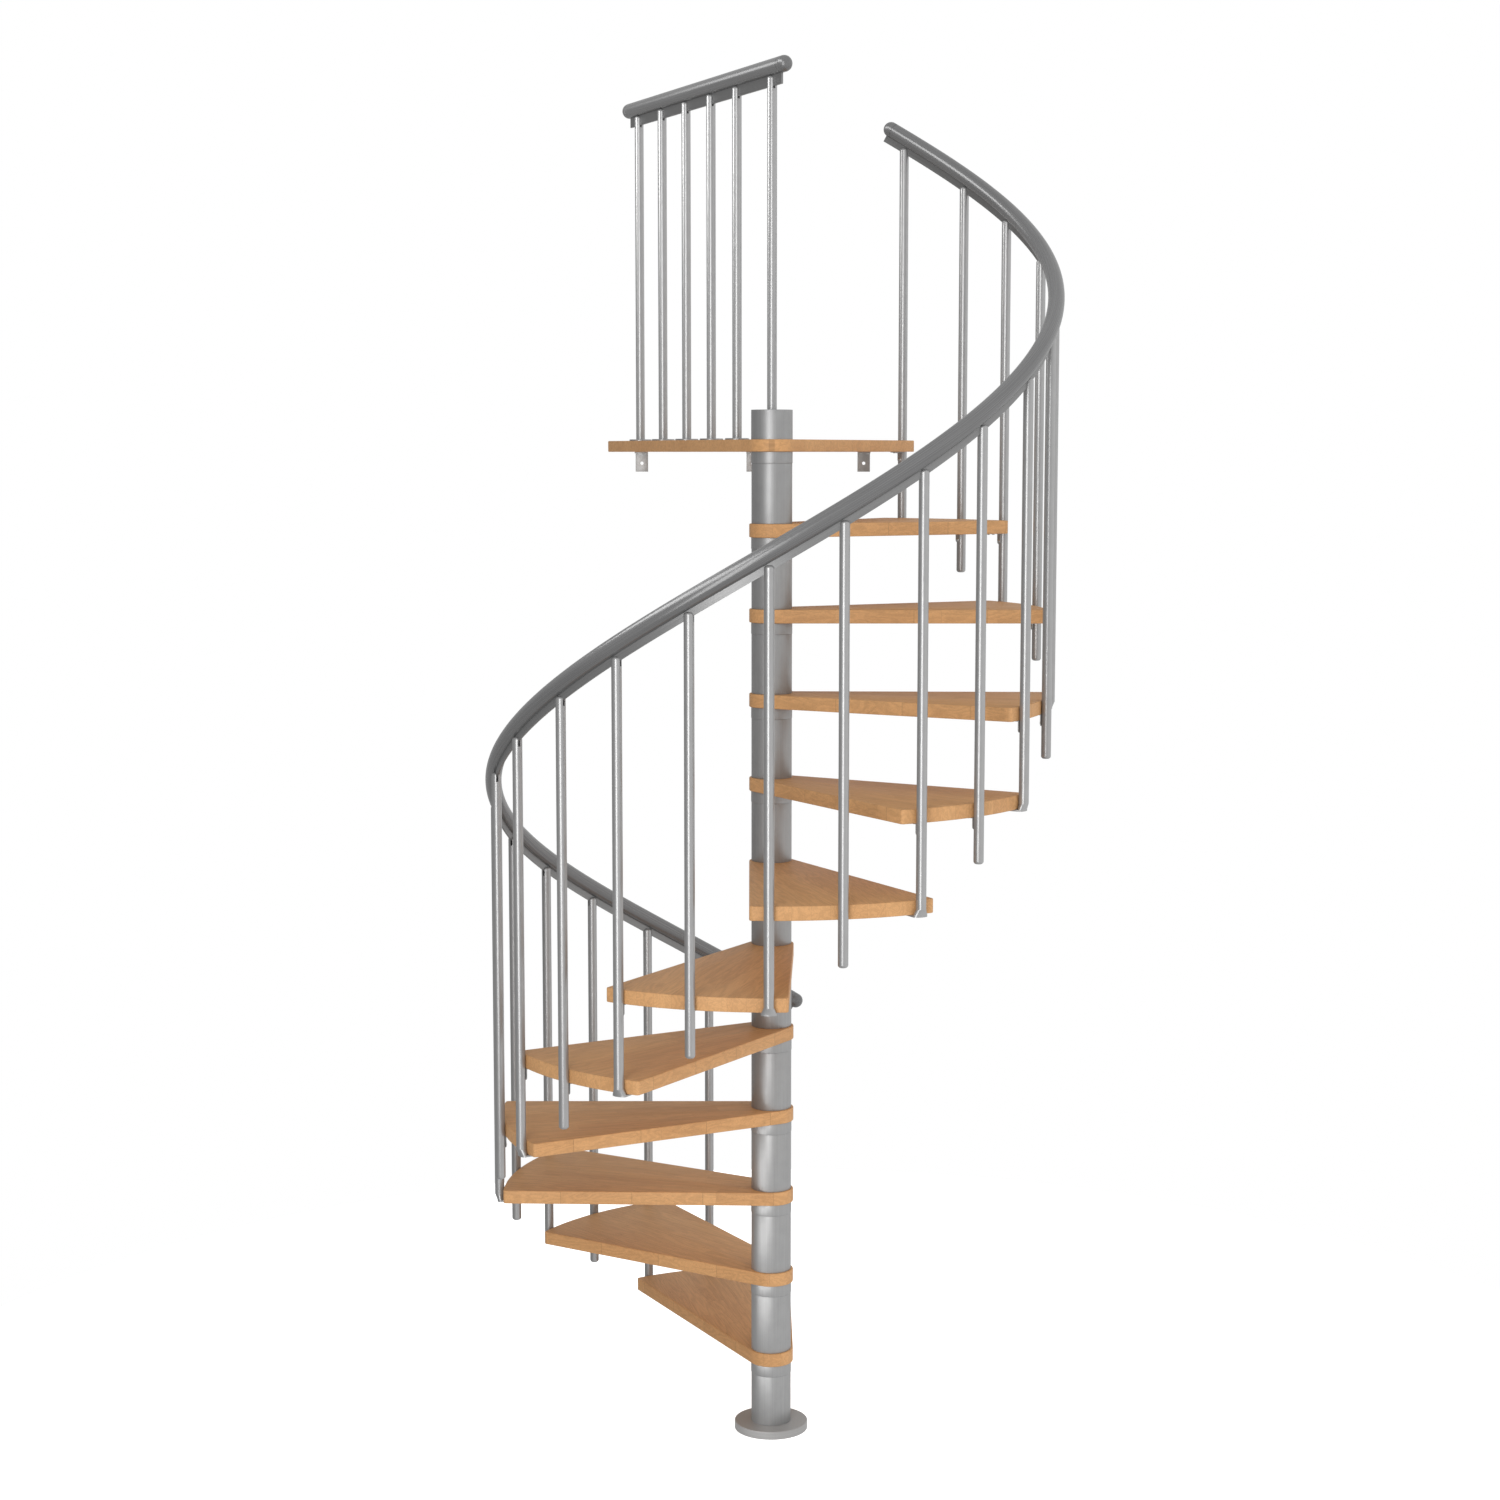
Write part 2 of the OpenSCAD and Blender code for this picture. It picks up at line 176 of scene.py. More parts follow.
def length(name, about, default):
    return FloatProperty(name=name, description=about, default=default, subtype="DISTANCE", unit="LENGTH")


def degrees(name, about, default):
    return FloatProperty(name=name, description=about, default=math.radians(default), subtype="ANGLE")


def colour(name, about, red, green, blue):
    return FloatVectorProperty(
        name=name, description=about, default=(red, green, blue, 1), size=4, min=0, max=1, subtype="COLOR")


def number(name, about, default):
    return IntProperty(name=name, description=about, default=default, min=3)


def power(name, about, default):
    return FloatProperty(name=name, description=about, default=default, unit="POWER")


class OakBoards(bpy.types.PropertyGroup):
    """Sizes and colours of the treads and the landing"""

    hub_r: length("Hub radius", "Radius of a board's round end at the column", 0.055)
    corner_reach: length("Corner reach", "How far a sharp corner would reach past its baluster", 0.044)
    corner_r: length("Corner radius", "Rounding of a tread's outer corners", 0.008)
    easing: length("Easing", "Rounding of the boards' edges", 0.0022)
    landing_arc: degrees("Landing arc", "Turn of the landing's round edge past its baluster", 3)
    stave_w: length("Stave width", "Width of the staves that the boards are glued from", 0.043)
    stave_l: length("Stave length", "Usual length of a stave", 0.52)
    light: colour("Light oak", "Colour of the pale wood", 0.66, 0.368, 0.164)
    dark: colour("Dark oak", "Colour of the dark wood", 0.52, 0.268, 0.114)
    pore: colour("Pores", "Colour of the open pores", 0.20, 0.09, 0.035)


class Column(bpy.types.PropertyGroup):
    """Sizes and colours of the column's sleeves, rings and flange"""

    wall: length("Sleeve wall", "Wall of a column sleeve", 0.003)
    edge: length("Edge", "Rounding of the sleeves' and rings' edges", 0.0008)
    flange_edge: length("Flange edge", "Rounding of the floor flange's upper edge", 0.002)
    lid: length("Lid", "Thickness of the top sleeve's lid", 0.005)
    sides: number("Sides", "Sides of the column's round pieces", 96)
    paint: colour("Paint", "Silver of the column", 0.33, 0.33, 0.33)
    flange_paint: colour("Flange", "Grey of the floor flange", 0.33, 0.325, 0.32)


class Balusters(bpy.types.PropertyGroup):
    """Sizes and colour of the balusters"""

    end_round: length("End rounding", "Rounding of a baluster's ends", 0.007)
    slot: length("Slot", "Width of the slot in a baluster's top", 0.0056)
    tail: length("Tail", "How far a middle baluster hangs below its tread", 0.106)
    press_w: length("Foot width", "Width of a baluster's pressed foot", 0.036)
    press_h: length("Foot height", "Height over which a baluster narrows into its foot", 0.014)
    press_t: length("Foot thickness", "Thickness of the pressed foot", 0.004)
    press_draw: length("Foot draw", "How far the foot draws in from the baluster's outer side", 0.006)
    tab: length("Tab", "Length of the foot's tab under the tread", 0.042)
    foot_edge: length("Foot edge", "Rounding of the landing feet's upper edge", 0.0015)
    sides: number("Sides", "Sides of a baluster", 32)
    paint: colour("Paint", "Silver of the balusters", 0.36, 0.36, 0.36)


class Rails(bpy.types.PropertyGroup):
    """Sizes and colours of the handrail, the landing rail and their strips"""

    groove: length("Groove", "Depth of the groove in the rail's underside", 0.005)
    strip_t: length("Strip thickness", "Thickness of the strips", 0.005)
    strip_show: length("Strip height", "Height of the strip that shows under the handrail", 0.016)
    guard_show: length("Landing strip", "Height of the strip that shows under the landing rail", 0.0255)
    strip_past: length("Strip end", "How far the strip runs on under the handrail's end caps", 0.013)
    collar: length("Collar", "Straight part of an end cap before its dome", 0.010)
    seam: length("Seam", "Width of the groove between rail and end cap", 0.0008)
    low_end: length("Lower end", "Length of the handrail past the first baluster", 0.060)
    high_end: length("Upper end", "Length of the handrail past the last baluster", 0.035)
    height: length("Height", "Handrail's centre above the line of the nosings", 0.988)
    sides: number("Sides", "Sides of the rails", 48)
    steps: number("Steps", "Rings along the handrail", 240)
    plastic: colour("Plastic", "Grey of the rails", 0.102, 0.102, 0.103)
    metal: colour("Strip", "Grey of the strips", 0.215, 0.215, 0.215)


class LandingRail(bpy.types.PropertyGroup):
    """Places of the landing rail and its balusters"""

    heading: degrees("Heading", "Direction of the landing rail from the column", 115.8)
    first: length("First", "Distance from the column's axis to the first baluster", 0.203)
    pitch: length("Pitch", "Distance between the balusters", 0.157)
    end: length("End", "Length of the rail past its end balusters", 0.056)
    strip_end: length("Strip end", "Length of the strip past the end balusters", 0.055)
    slot_extra: length("Slot depth", "Depth of a baluster's slot below the strip", 0.005)
    foot_r: length("Foot radius", "Radius of the landing balusters' feet", 0.030)
    foot_t: length("Foot thickness", "Thickness of those feet", 0.004)
    balusters: number("Balusters", "Balusters on the landing", 5)


class Brackets(bpy.types.PropertyGroup):
    """Sizes and colours of the brackets and their screws"""

    thick: length("Thickness", "Thickness of the tread brackets", 0.002)
    wide: length("Width", "Width of a tread bracket", 0.015)
    long: length("Length", "Length of a bracket under its tread", 0.042)
    leaf: length("Leaf", "Length of a bracket's leaf beside its baluster", 0.028)
    edge: length("Edge", "Rounding of the brackets' edges", 0.0006)
    screw_r: length("Screw head", "Radius of the wood screws' heads", 0.0042)
    leaf_screw_r: length("Leaf screw", "Radius of the screw heads on the leaves", 0.0048)
    tab_spread: length("Tab screws", "Distance of a tab's screws from its middle", 0.010)
    wall_spread: length("Wall screws", "Distance of a wall bracket's screws from its middle", 0.009)
    wall_inset: length("Wall screw inset", "Distance of those screws from the bracket's front edge", 0.0126)
    wall_t: length("Wall bracket thickness", "Thickness of a wall bracket", 0.004)
    wall_hole_r: length("Wall hole", "Radius of a wall bracket's hole", 0.0045)
    wall_hole_drop: length("Hole drop", "Distance from the landing down to the hole", 0.031)
    paint: colour("Paint", "Grey of the brackets", 0.36, 0.355, 0.35)
    steel: colour("Screws", "Colour of the zinc-plated screws", 0.55, 0.55, 0.54)


class Stage(bpy.types.PropertyGroup):
    """Place of the camera, the floor and the lights"""

    lens: FloatProperty(
        name="Lens", description="Focal length on a 36 mm sensor", default=62.99, unit="CAMERA")
    distance: length("Distance", "Level distance from the camera to the column", 6.3989)
    height: length("Height", "Height of the camera", 2.4419)
    swing: degrees("Swing", "Turn of the camera about the column", 0.477)
    heading: degrees("Heading", "Turn of the view to the left of +Y", 0.952)
    pitch: degrees("Pitch", "How far the camera looks down", 6.437)
    floor_r: length("Floor", "Radius of the floor", 2.4)
    floor: colour("Floor colour", "Colour of the floor", 0.86, 0.86, 0.86)
    key: power("Key light", "Power of the key light", 226)
    side: power("Side light", "Power of the wide light on the left that streaks the rails", 290)
    back: power("Back light", "Power of the light behind the landing rail", 2)
    left: power("Left light", "Power of the light on the left of the uppermost balusters", 26)
    low: power("Low light", "Power of the light beside the column's foot", 8)


# Shader maths


class Wire:
    """A socket's value that Python arithmetic can use: each operator adds a Math node."""

    def __init__(self, nodes, socket):
        self.nodes = nodes
        self.socket = socket

    def math(self, operation, first, second=0.0):
        return self.nodes.add("ShaderNodeMath", {"operation": operation}, {0: first, 1: second})

    def __add__(self, other):
        return self.math("ADD", self, other)

    def __sub__(self, other):
        return self.math("SUBTRACT", self, other)

    def __rsub__(self, other):
        return self.math("SUBTRACT", other, self)

    def __mul__(self, other):
        return self.math("MULTIPLY", self, other)

    def __truediv__(self, other):
        return self.math("DIVIDE", self, other)

    def __rtruediv__(self, other):
        return self.math("DIVIDE", other, self)

    def __pow__(self, other):
        return self.math("POWER", self, other)

    def __rpow__(self, other):
        return self.math("POWER", other, self)

    __radd__ = __add__
    __rmul__ = __mul__

    def floor(self):
        return self.math("FLOOR", self)

    def part(self):
        return self.math("FRACT", self)

    def below(self, limit):
        return self.math("LESS_THAN", self, limit)

    def sine(self):
        return self.math("SINE", self)


class Nodes:
    """A node tree and the one way of adding nodes to it."""

    def __init__(self, tree):
        self.tree = tree

    def add(self, kind, settings=None, inputs=None, output=0):
        """Adds a node, sets its settings, then fills its sockets with values or links."""
        node = self.tree.nodes.new(kind)
        for name, value in (settings or {}).items():
            setattr(node, name, value)
        for name, value in (inputs or {}).items():
            self.fill(node.inputs[name], value)
        return Wire(self, node.outputs[output])

    def fill(self, socket, value):
        if isinstance(value, Wire):
            self.tree.links.new(value.socket, socket)
        else:
            socket.default_value = value


class Finish(Nodes):
    """A procedural material: its shader and the patterns that feed it."""

    def __init__(self, name):
        self.material = bpy.data.materials.new(name)
        self.material.use_nodes = True
        super().__init__(self.material.node_tree)
        self.shader = self.tree.nodes["Principled BSDF"]

    def feed(self, **sockets):
        """Fills the shader's sockets; their names are written with underscores."""
        for name, value in sockets.items():
            self.fill(self.shader.inputs[name.replace("_", " ")], value)

    def place(self):
        return self.add("ShaderNodeTexCoord", output="Object")

    def attribute(self, name):
        return self.add("ShaderNodeAttribute", {"attribute_name": name}, output="Vector")

    def split(self, vector):
        first = self.add("ShaderNodeSeparateXYZ", inputs={0: vector})
        return [Wire(self, socket) for socket in first.socket.node.outputs]

    def join(self, x, y, z):
        return self.add("ShaderNodeCombineXYZ", inputs={0: x, 1: y, 2: z})

    def noise(self, vector, scale, detail=2.0, distortion=0.0):
        return self.add(
            "ShaderNodeTexNoise",
            inputs={"Vector": vector, "Scale": scale, "Detail": detail, "Distortion": distortion})

    def random(self, vector):
        return self.add("ShaderNodeTexWhiteNoise", {"noise_dimensions": "3D"}, {"Vector": vector})

    def between(self, value, low, high, from_low=0.0, from_high=1.0):
        return self.add("ShaderNodeMapRange", {"clamp": True}, {
            "Value": value, "From Min": from_low, "From Max": from_high, "To Min": low, "To Max": high})

    def vary(self, noise, low, high):
        """Spreads the middle of a noise, where most of it lies, between two values."""
        return self.between(noise, low, high, *NOISE_MIDDLE)

    def mix(self, amount, first, second):
        return self.add("ShaderNodeMix", {"data_type": "RGBA"}, {0: amount, 6: first, 7: second}, output=2)

    def shade(self, tint, amount):
        """A colour made darker or lighter by an amount that varies."""
        grey = self.join(amount, amount, amount)
        settings = {"data_type": "RGBA", "blend_type": "MULTIPLY"}
        return self.add("ShaderNodeMix", settings, {0: 1.0, 6: tint, 7: grey}, output=2)

    def bump(self, depth, strength, distance):
        inputs = {"Height": depth, "Strength": strength, "Distance": distance}
        self.feed(Normal=self.add("ShaderNodeBump", inputs=inputs))


def oak_finish(oak):
    """Boards glued from oak staves, with grain, pores and glue lines, under a satin varnish."""
    wood = Finish("oak_boards")
    along, across, deep = wood.split(wood.attribute("grain"))
    stave = (across / oak.stave_w).floor()
    shift = wood.random(wood.join(stave, 3.7, 0.0))
    piece = (along / oak.stave_l + shift).floor()
    tone = wood.random(wood.join(stave, piece, 9.1))
    offset = tone * 7.0
    figure = wood.noise(wood.join(along * 2.4 + offset, across * 26.0 + offset, deep * 26.0), 1.0, 3.0, 0.4)
    rings = (figure * 62.0).sine() * 0.5 + 0.5
    fibre = wood.noise(wood.join(along * 16.0 + offset, across * 700.0, deep * 700.0), 1.0, 3.0)
    cells = wood.noise(wood.join(along * 42.0, across * 1500.0 + offset, deep * 1500.0), 1.0, 1.0)
    pores = wood.between(cells, 0.0, 1.0, 0.60, 0.70) * wood.between(figure, 0.25, 1.0, 0.35, 0.62)
    edge = (across / oak.stave_w).part()
    glue = edge.below(0.012) + (along / oak.stave_l + shift).part().below(0.0012)
    body = wood.mix(wood.between(tone, 0.12, 0.50), oak.light, oak.dark)
    body = wood.shade(body, wood.between(rings, 0.90, 1.03))
    body = wood.shade(body, wood.between(fibre, 0.88, 1.10, 0.25, 0.75))
    body = wood.mix(pores * 0.5, body, oak.pore)
    body = wood.shade(body, 1.0 - glue * 0.22)
    wood.feed(Base_Color=body, Roughness=wood.between(fibre, 0.48, 0.62), Coat_Weight=0.03)
    wood.feed(Coat_Roughness=0.35, Specular_IOR_Level=0.2)
    wood.bump(fibre * 0.4 - pores * 1.0 - glue * 0.8, 0.22, 0.0006)
    return wood.material


def silver_finish(name, paint, metal, gloss, streaks, peel):
    """Silver powder coat: metal flakes, faint streaks along the tube and as much orange peel as given."""
    coat = Finish(name)
    place = coat.place()
    x, y, z = coat.split(place)
    flakes = coat.noise(place, 900.0, 2.0)
    cloud = coat.noise(place, 38.0, 4.0)
    drawn = coat.noise(coat.join(x * 420.0, y * 420.0, z * 5.0), 1.0, 2.0)
    tone = coat.vary(flakes, 0.97, 1.03) * coat.vary(cloud, 0.97, 1.03)
    tone = tone * coat.vary(drawn, 1.0 - streaks, 1.0 + streaks)
    coat.feed(Base_Color=coat.shade(paint, tone), Metallic=metal)
    coat.feed(Roughness=coat.vary(flakes, gloss - 0.02 * peel, gloss + 0.02 * peel))
    if peel:
        coat.bump(coat.noise(place, 620.0, 2.0), 0.006 * peel, 0.0002)
    return coat.material


def flange_finish(column):
    """Turned steel under grey paint: fine rings round the axis."""
    coat = Finish("flange_paint")
    place = coat.place()
    x, y, z = coat.split(place)
    radius = (x * x + y * y) ** 0.5
    turned = coat.noise(coat.join(radius * 900.0, z * 1100.0, 0.0), 1.0, 2.0)
    flakes = coat.noise(place, 900.0, 2.0)
    tone = coat.vary(turned, 0.86, 1.12) * coat.vary(flakes, 0.93, 1.07)
    coat.feed(Base_Color=coat.shade(column.flange_paint, tone), Metallic=0.25)
    coat.feed(Roughness=coat.vary(turned, 0.36, 0.50))
    coat.bump(turned, 0.15, 0.0004)
    return coat.material


def rail_finish(rails):
    """Satin grey plastic with faint lines along the rail from its making, and a fine texture."""
    coat = Finish("rail_plastic")
    along, out, up = coat.split(coat.attribute("run"))
    lines = coat.noise(coat.join(along * 2.0, out * 520.0, up * 520.0), 1.0, 3.0)
    grain = coat.noise(coat.join(along, out, up), 1400.0, 2.0)
    cloud = coat.noise(coat.join(along * 6.0, out * 40.0, up * 40.0), 1.0, 3.0)
    tone = coat.vary(lines, 0.90, 1.12) * coat.vary(cloud, 0.94, 1.06)
    coat.feed(Base_Color=coat.shade(rails.plastic, tone))
    coat.feed(Roughness=coat.vary(lines, 0.24, 0.29) + coat.vary(grain, -0.02, 0.02))
    coat.feed(Specular_IOR_Level=0.9)
    coat.bump(lines, 0.004, 0.0002)
    return coat.material


def strip_finish(rails):
    """Grey powder coat on the flat strips, with lines along the rail from rolling."""
    coat = Finish("strip_metal")
    along, out, up = coat.split(coat.attribute("run"))
    rolled = coat.noise(coat.join(along * 5.0, out * 300.0, up * 900.0), 1.0, 3.0)
    flakes = coat.noise(coat.join(along, out, up), 900.0, 2.0)
    tone = coat.vary(rolled, 0.90, 1.10) * coat.vary(flakes, 0.90, 1.10)
    coat.feed(Base_Color=coat.shade(rails.metal, tone), Metallic=0.5)
    coat.feed(Roughness=coat.vary(rolled, 0.32, 0.46))
    coat.bump(flakes, 0.08, 0.0003)
    return coat.material


def bracket_finish(brackets):
    """Grey powder coat on folded steel plate, a little uneven."""
    coat = Finish("bracket_metal")
    place = coat.place()
    flakes = coat.noise(place, 900.0, 2.0)
    cloud = coat.noise(place, 60.0, 3.0)
    tone = coat.vary(flakes, 0.88, 1.10) * coat.vary(cloud, 0.90, 1.08)
    coat.feed(Base_Color=coat.shade(brackets.paint, tone), Metallic=0.5)
    coat.feed(Roughness=coat.vary(cloud, 0.36, 0.50))
    coat.bump(flakes, 0.10, 0.0004)
    return coat.material


def screw_finish(brackets):
    """Zinc-plated steel with a faint mottle."""
    coat = Finish("screw_steel")
    mottle = coat.noise(coat.place(), 420.0, 3.0)
    coat.feed(Base_Color=coat.shade(brackets.steel, coat.vary(mottle, 0.84, 1.10)), Metallic=1.0)
    coat.feed(Roughness=coat.vary(mottle, 0.24, 0.42))
    coat.bump(mottle, 0.06, 0.0002)
    return coat.material


# Modelling


def leave_edit():
    bpy.ops.object.mode_set(mode="OBJECT")


def deselect_all():
    if bpy.context.mode != "OBJECT":
        leave_edit()
    bpy.ops.object.select_all(action="DESELECT")


def pick(*pieces):
    """Makes these the selected objects, the first one active."""
    deselect_all()
    for piece in pieces:
        piece.select_set(True)
    bpy.context.view_layer.objects.active = pieces[0]


def edit(piece, mode="VERT"):
    pick(piece)
    bpy.ops.object.mode_set(mode="EDIT")
    bpy.ops.mesh.select_mode(type=mode)
    bpy.ops.mesh.select_all(action="SELECT")


def title(piece, name):
    """Gives a piece and its mesh the same name."""
    piece.name = name
    piece.data.name = name
    return piece


def polar(radius, turn, z=0.0):
    return Vector((radius * math.cos(turn), radius * math.sin(turn), z))


def arc(centre, radius, start, end, steps):
    """Points along an arc in the level plane, both ends included."""
    return [centre + polar(radius, start + (end - start) * step / steps) for step in range(steps + 1)]


def upright(points):
    """Level points stood up in the XZ plane."""
    return [Vector((point.x, 0.0, point.y)) for point in points]


def draw_line(name, points):
    """Starts from a plane merged to one point and extrudes that from place to place."""
    deselect_all()
    bpy.ops.mesh.primitive_plane_add(size=RISE)
    piece = title(bpy.context.active_object, name)
    edit(piece)
    bpy.ops.mesh.merge(type="CENTER")
    bpy.ops.transform.translate(value=points[0])
    for here, there in zip(points, points[1:]):
        bpy.ops.mesh.extrude_vertices_move(TRANSFORM_OT_translate={"value": there - here})
    return piece


def tidy_mesh():
    """Welds the doubles and turns the faces outwards, in edit mode."""
    bpy.ops.mesh.select_all(action="SELECT")
    bpy.ops.mesh.remove_doubles(threshold=WELD)
    bpy.ops.mesh.normals_make_consistent(inside=False)


def close_face(piece):
    """Closes a drawn line to a loop and fills it."""
    edit(piece)
    bpy.ops.mesh.edge_face_add()
    tidy_mesh()


def plate(name, outline, depth):
    """Plate with a drawn outline, extruded by a depth vector."""
    piece = draw_line(name, outline)
    close_face(piece)
    bpy.ops.mesh.extrude_region_move(TRANSFORM_OT_translate={"value": depth})
    tidy_mesh()
    leave_edit()
    return piece


def turned(name, profile, sides, closed=False):
    """Round piece: a drawn profile spun about the Z axis. A closed profile makes a ring."""
    line = profile + profile[:1] if closed else profile
    piece = draw_line(name, upright(line))
    edit(piece)
    bpy.ops.mesh.spin(steps=sides, angle=math.tau, center=(0, 0, 0), axis=(0, 0, 1))
    tidy_mesh()
    leave_edit()
    return piece


def apply_modifier(piece, kind, **settings):
    pick(piece)
    bpy.ops.object.modifier_add(type=kind)
    modifier = piece.modifiers[-1]
    for name, value in settings.items():
        setattr(modifier, name, value)
    bpy.ops.object.modifier_apply(modifier=modifier.name)


def ease_edges(piece, width, segments):
    apply_modifier(
        piece, "BEVEL", width=width, segments=segments, limit_method="ANGLE", angle_limit=EASED_BEND)


def cut(piece, cutter):
    """Takes the cutter's shape out of the piece and removes the cutter."""
    apply_modifier(piece, "BOOLEAN", operation="DIFFERENCE", object=cutter, solver="EXACT")
    bpy.data.objects.remove(cutter)


def drill(piece, radius, foot, head, sides):
    """Drills a round hole between two points."""
    deselect_all()
    way = head - foot
    bpy.ops.mesh.primitive_cylinder_add(
        vertices=sides, radius=radius, depth=way.length, location=(head + foot) / 2,
        rotation=way.to_track_quat("Z", "Y").to_euler())
    cut(piece, bpy.context.active_object)


def block(name, low, high):
    """Box between two corners, a cube moved face by face."""
    deselect_all()
    bpy.ops.mesh.primitive_cube_add(size=1.0, location=(low + high) / 2)
    piece = title(bpy.context.active_object, name)
    edit(piece)
    bpy.ops.transform.resize(value=high - low, center_override=(low + high) / 2)
    leave_edit()
    return piece


def set_down(piece, place):
    """Puts a piece in place and keeps the place in its mesh."""
    pick(piece)
    piece.matrix_world = place
    bpy.ops.object.transform_apply(location=True, rotation=True, scale=True)
    return piece


def copy_to(master, name, place):
    """Copy of a piece with its own mesh, set down at a place."""
    pick(master)
    bpy.ops.object.duplicate(linked=False)
    return set_down(title(bpy.context.active_object, name), place)


def row(master, name, places):
    """One piece made of copies of a master, which is removed."""
    made = [copy_to(master, name, place) for place in places]
    bpy.data.objects.remove(master)
    return joined(made)


def joined(pieces):
    pick(*pieces)
    if len(pieces) > 1:
        bpy.ops.object.join()
    return bpy.context.active_object


def write_vectors(piece, name, values):
    """Stores a vector for each vertex, which the finishes read."""
    layer = piece.data.attributes.get(name) or piece.data.attributes.new(name, "FLOAT_VECTOR", "POINT")
    layer.data.foreach_set("vector", [part for value in values for part in value])


def hand_over(piece, finish, slot, *nodes):
    """Shades and paints a finished piece, and ties it to the frame."""
    pick(piece)
    bpy.ops.object.shade_smooth_by_angle(angle=SMOOTH)
    piece.data.materials.clear()
    piece.data.materials.append(finish)
    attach(piece, BODY)
    if nodes:
        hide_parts(*nodes)


def lift(height):
    return Matrix.Translation((0, 0, height))


def about_column(turn, radius=0.0, z=0.0):
    """Place at a turn from the first nosing, with X pointing away from the column."""
    return Matrix.Rotation(FIRST_TURN + turn, 4, "Z") @ Matrix.Translation((radius, 0, z))


def middle_turn(step):
    """Turn of a tread's middle baluster from the first nosing; the first step is 0."""
    return (step + 0.5) * STEP_TURN + MIDDLE_TURNS[step]


def along_guard(landing, distance=0.0, z=0.0):
    """Place along the landing rail, with X pointing away from the column."""
    return Matrix.Rotation(landing.heading, 4, "Z") @ Matrix.Translation((distance, 0, z))


def rail_z(rails, turn):
    return rails.height + turn * RISE / STEP_TURN


# Operators


class STAIR_OT_column(bpy.types.Operator):
    """Turns the floor flange, the sleeves, the spacer rings and the top sleeve"""

    bl_idname = "stair.column"
    bl_label = "Turn the column"

    def ring_profile(self, outer, inner, height, edge):
        """Section of a tube with rounded outer edges."""
        corner_low = arc(Vector((outer - edge, edge, 0)), edge, -math.pi / 2, 0, EDGE_STEPS)
        corner_high = arc(Vector((outer - edge, height - edge, 0)), edge, 0, math.pi / 2, EDGE_STEPS)
        return [Vector((inner, 0, 0)), *corner_low, *corner_high, Vector((inner, height, 0))]

    def flange(self, column):
        edge = column.flange_edge
        rim = arc(Vector((FLANGE_R - edge, FLANGE_T - edge, 0)), edge, 0, math.pi / 2, FLANGE_STEPS)
        foot = Vector((FLANGE_R, 0, 0))
        return turned("floor_flange_turned", [Vector(), foot, *rim, Vector((0, FLANGE_T, 0))], column.sides)

    def top_sleeve(self, column):
        edge = column.edge
        rim = arc(Vector((RING_R - edge, TOP_SLEEVE_H - edge, 0)), edge, 0, math.pi / 2, RIM_STEPS)
        inner = RING_R - column.wall
        under = TOP_SLEEVE_H - column.lid
        inside = [Vector((0, under, 0)), Vector((inner, under, 0)), Vector((inner, 0, 0))]
        profile = [*inside, Vector((RING_R, 0, 0)), *rim, Vector((0, TOP_SLEEVE_H, 0))]
        piece = turned("top_sleeve_turned", profile, column.sides)
        return set_down(piece, lift(LANDING_TOP))

    def execute(self, context):
        column = context.scene.stair_column
        paint = silver_finish("column_paint", column.paint, metal=0.65, gloss=0.45, streaks=0.05, peel=1.0)
        hand_over(self.flange(column), flange_finish(column), "column_paint", "floor_flange")
        boards = [low_of(name).z for name in TREADS] + [LANDING_UNDER]
        inner = COLUMN_R - column.wall
        sleeves = []
        for step, under in enumerate(boards):
            foot = boards[step - 1] + BOARD_T if step else FLANGE_T
            profile = self.ring_profile(COLUMN_R, inner, under - RING_H - foot, column.edge)
            sleeve = turned("column_sleeves_turned", profile, column.sides, closed=True)
            sleeves.append(set_down(sleeve, lift(foot)))
        hand_over(joined(sleeves), paint, "column_paint", "column_sleeves")
        profile = self.ring_profile(RING_R, POLE_R + SEAT_GAP, RING_H, column.edge)
        ring = turned("spacer_ring", profile, column.sides, closed=True)
        rings = row(ring, "spacer_rings_turned", [lift(under - RING_H) for under in boards])
        hand_over(rings, paint, "column_paint", "spacer_rings")
        hand_over(self.top_sleeve(column), paint, "column_paint", "top_sleeve")
        pole = frame["nodes"]["central_pole"]
        pole.data.materials.clear()
        pole.data.materials.append(paint)
        return {"FINISHED"}


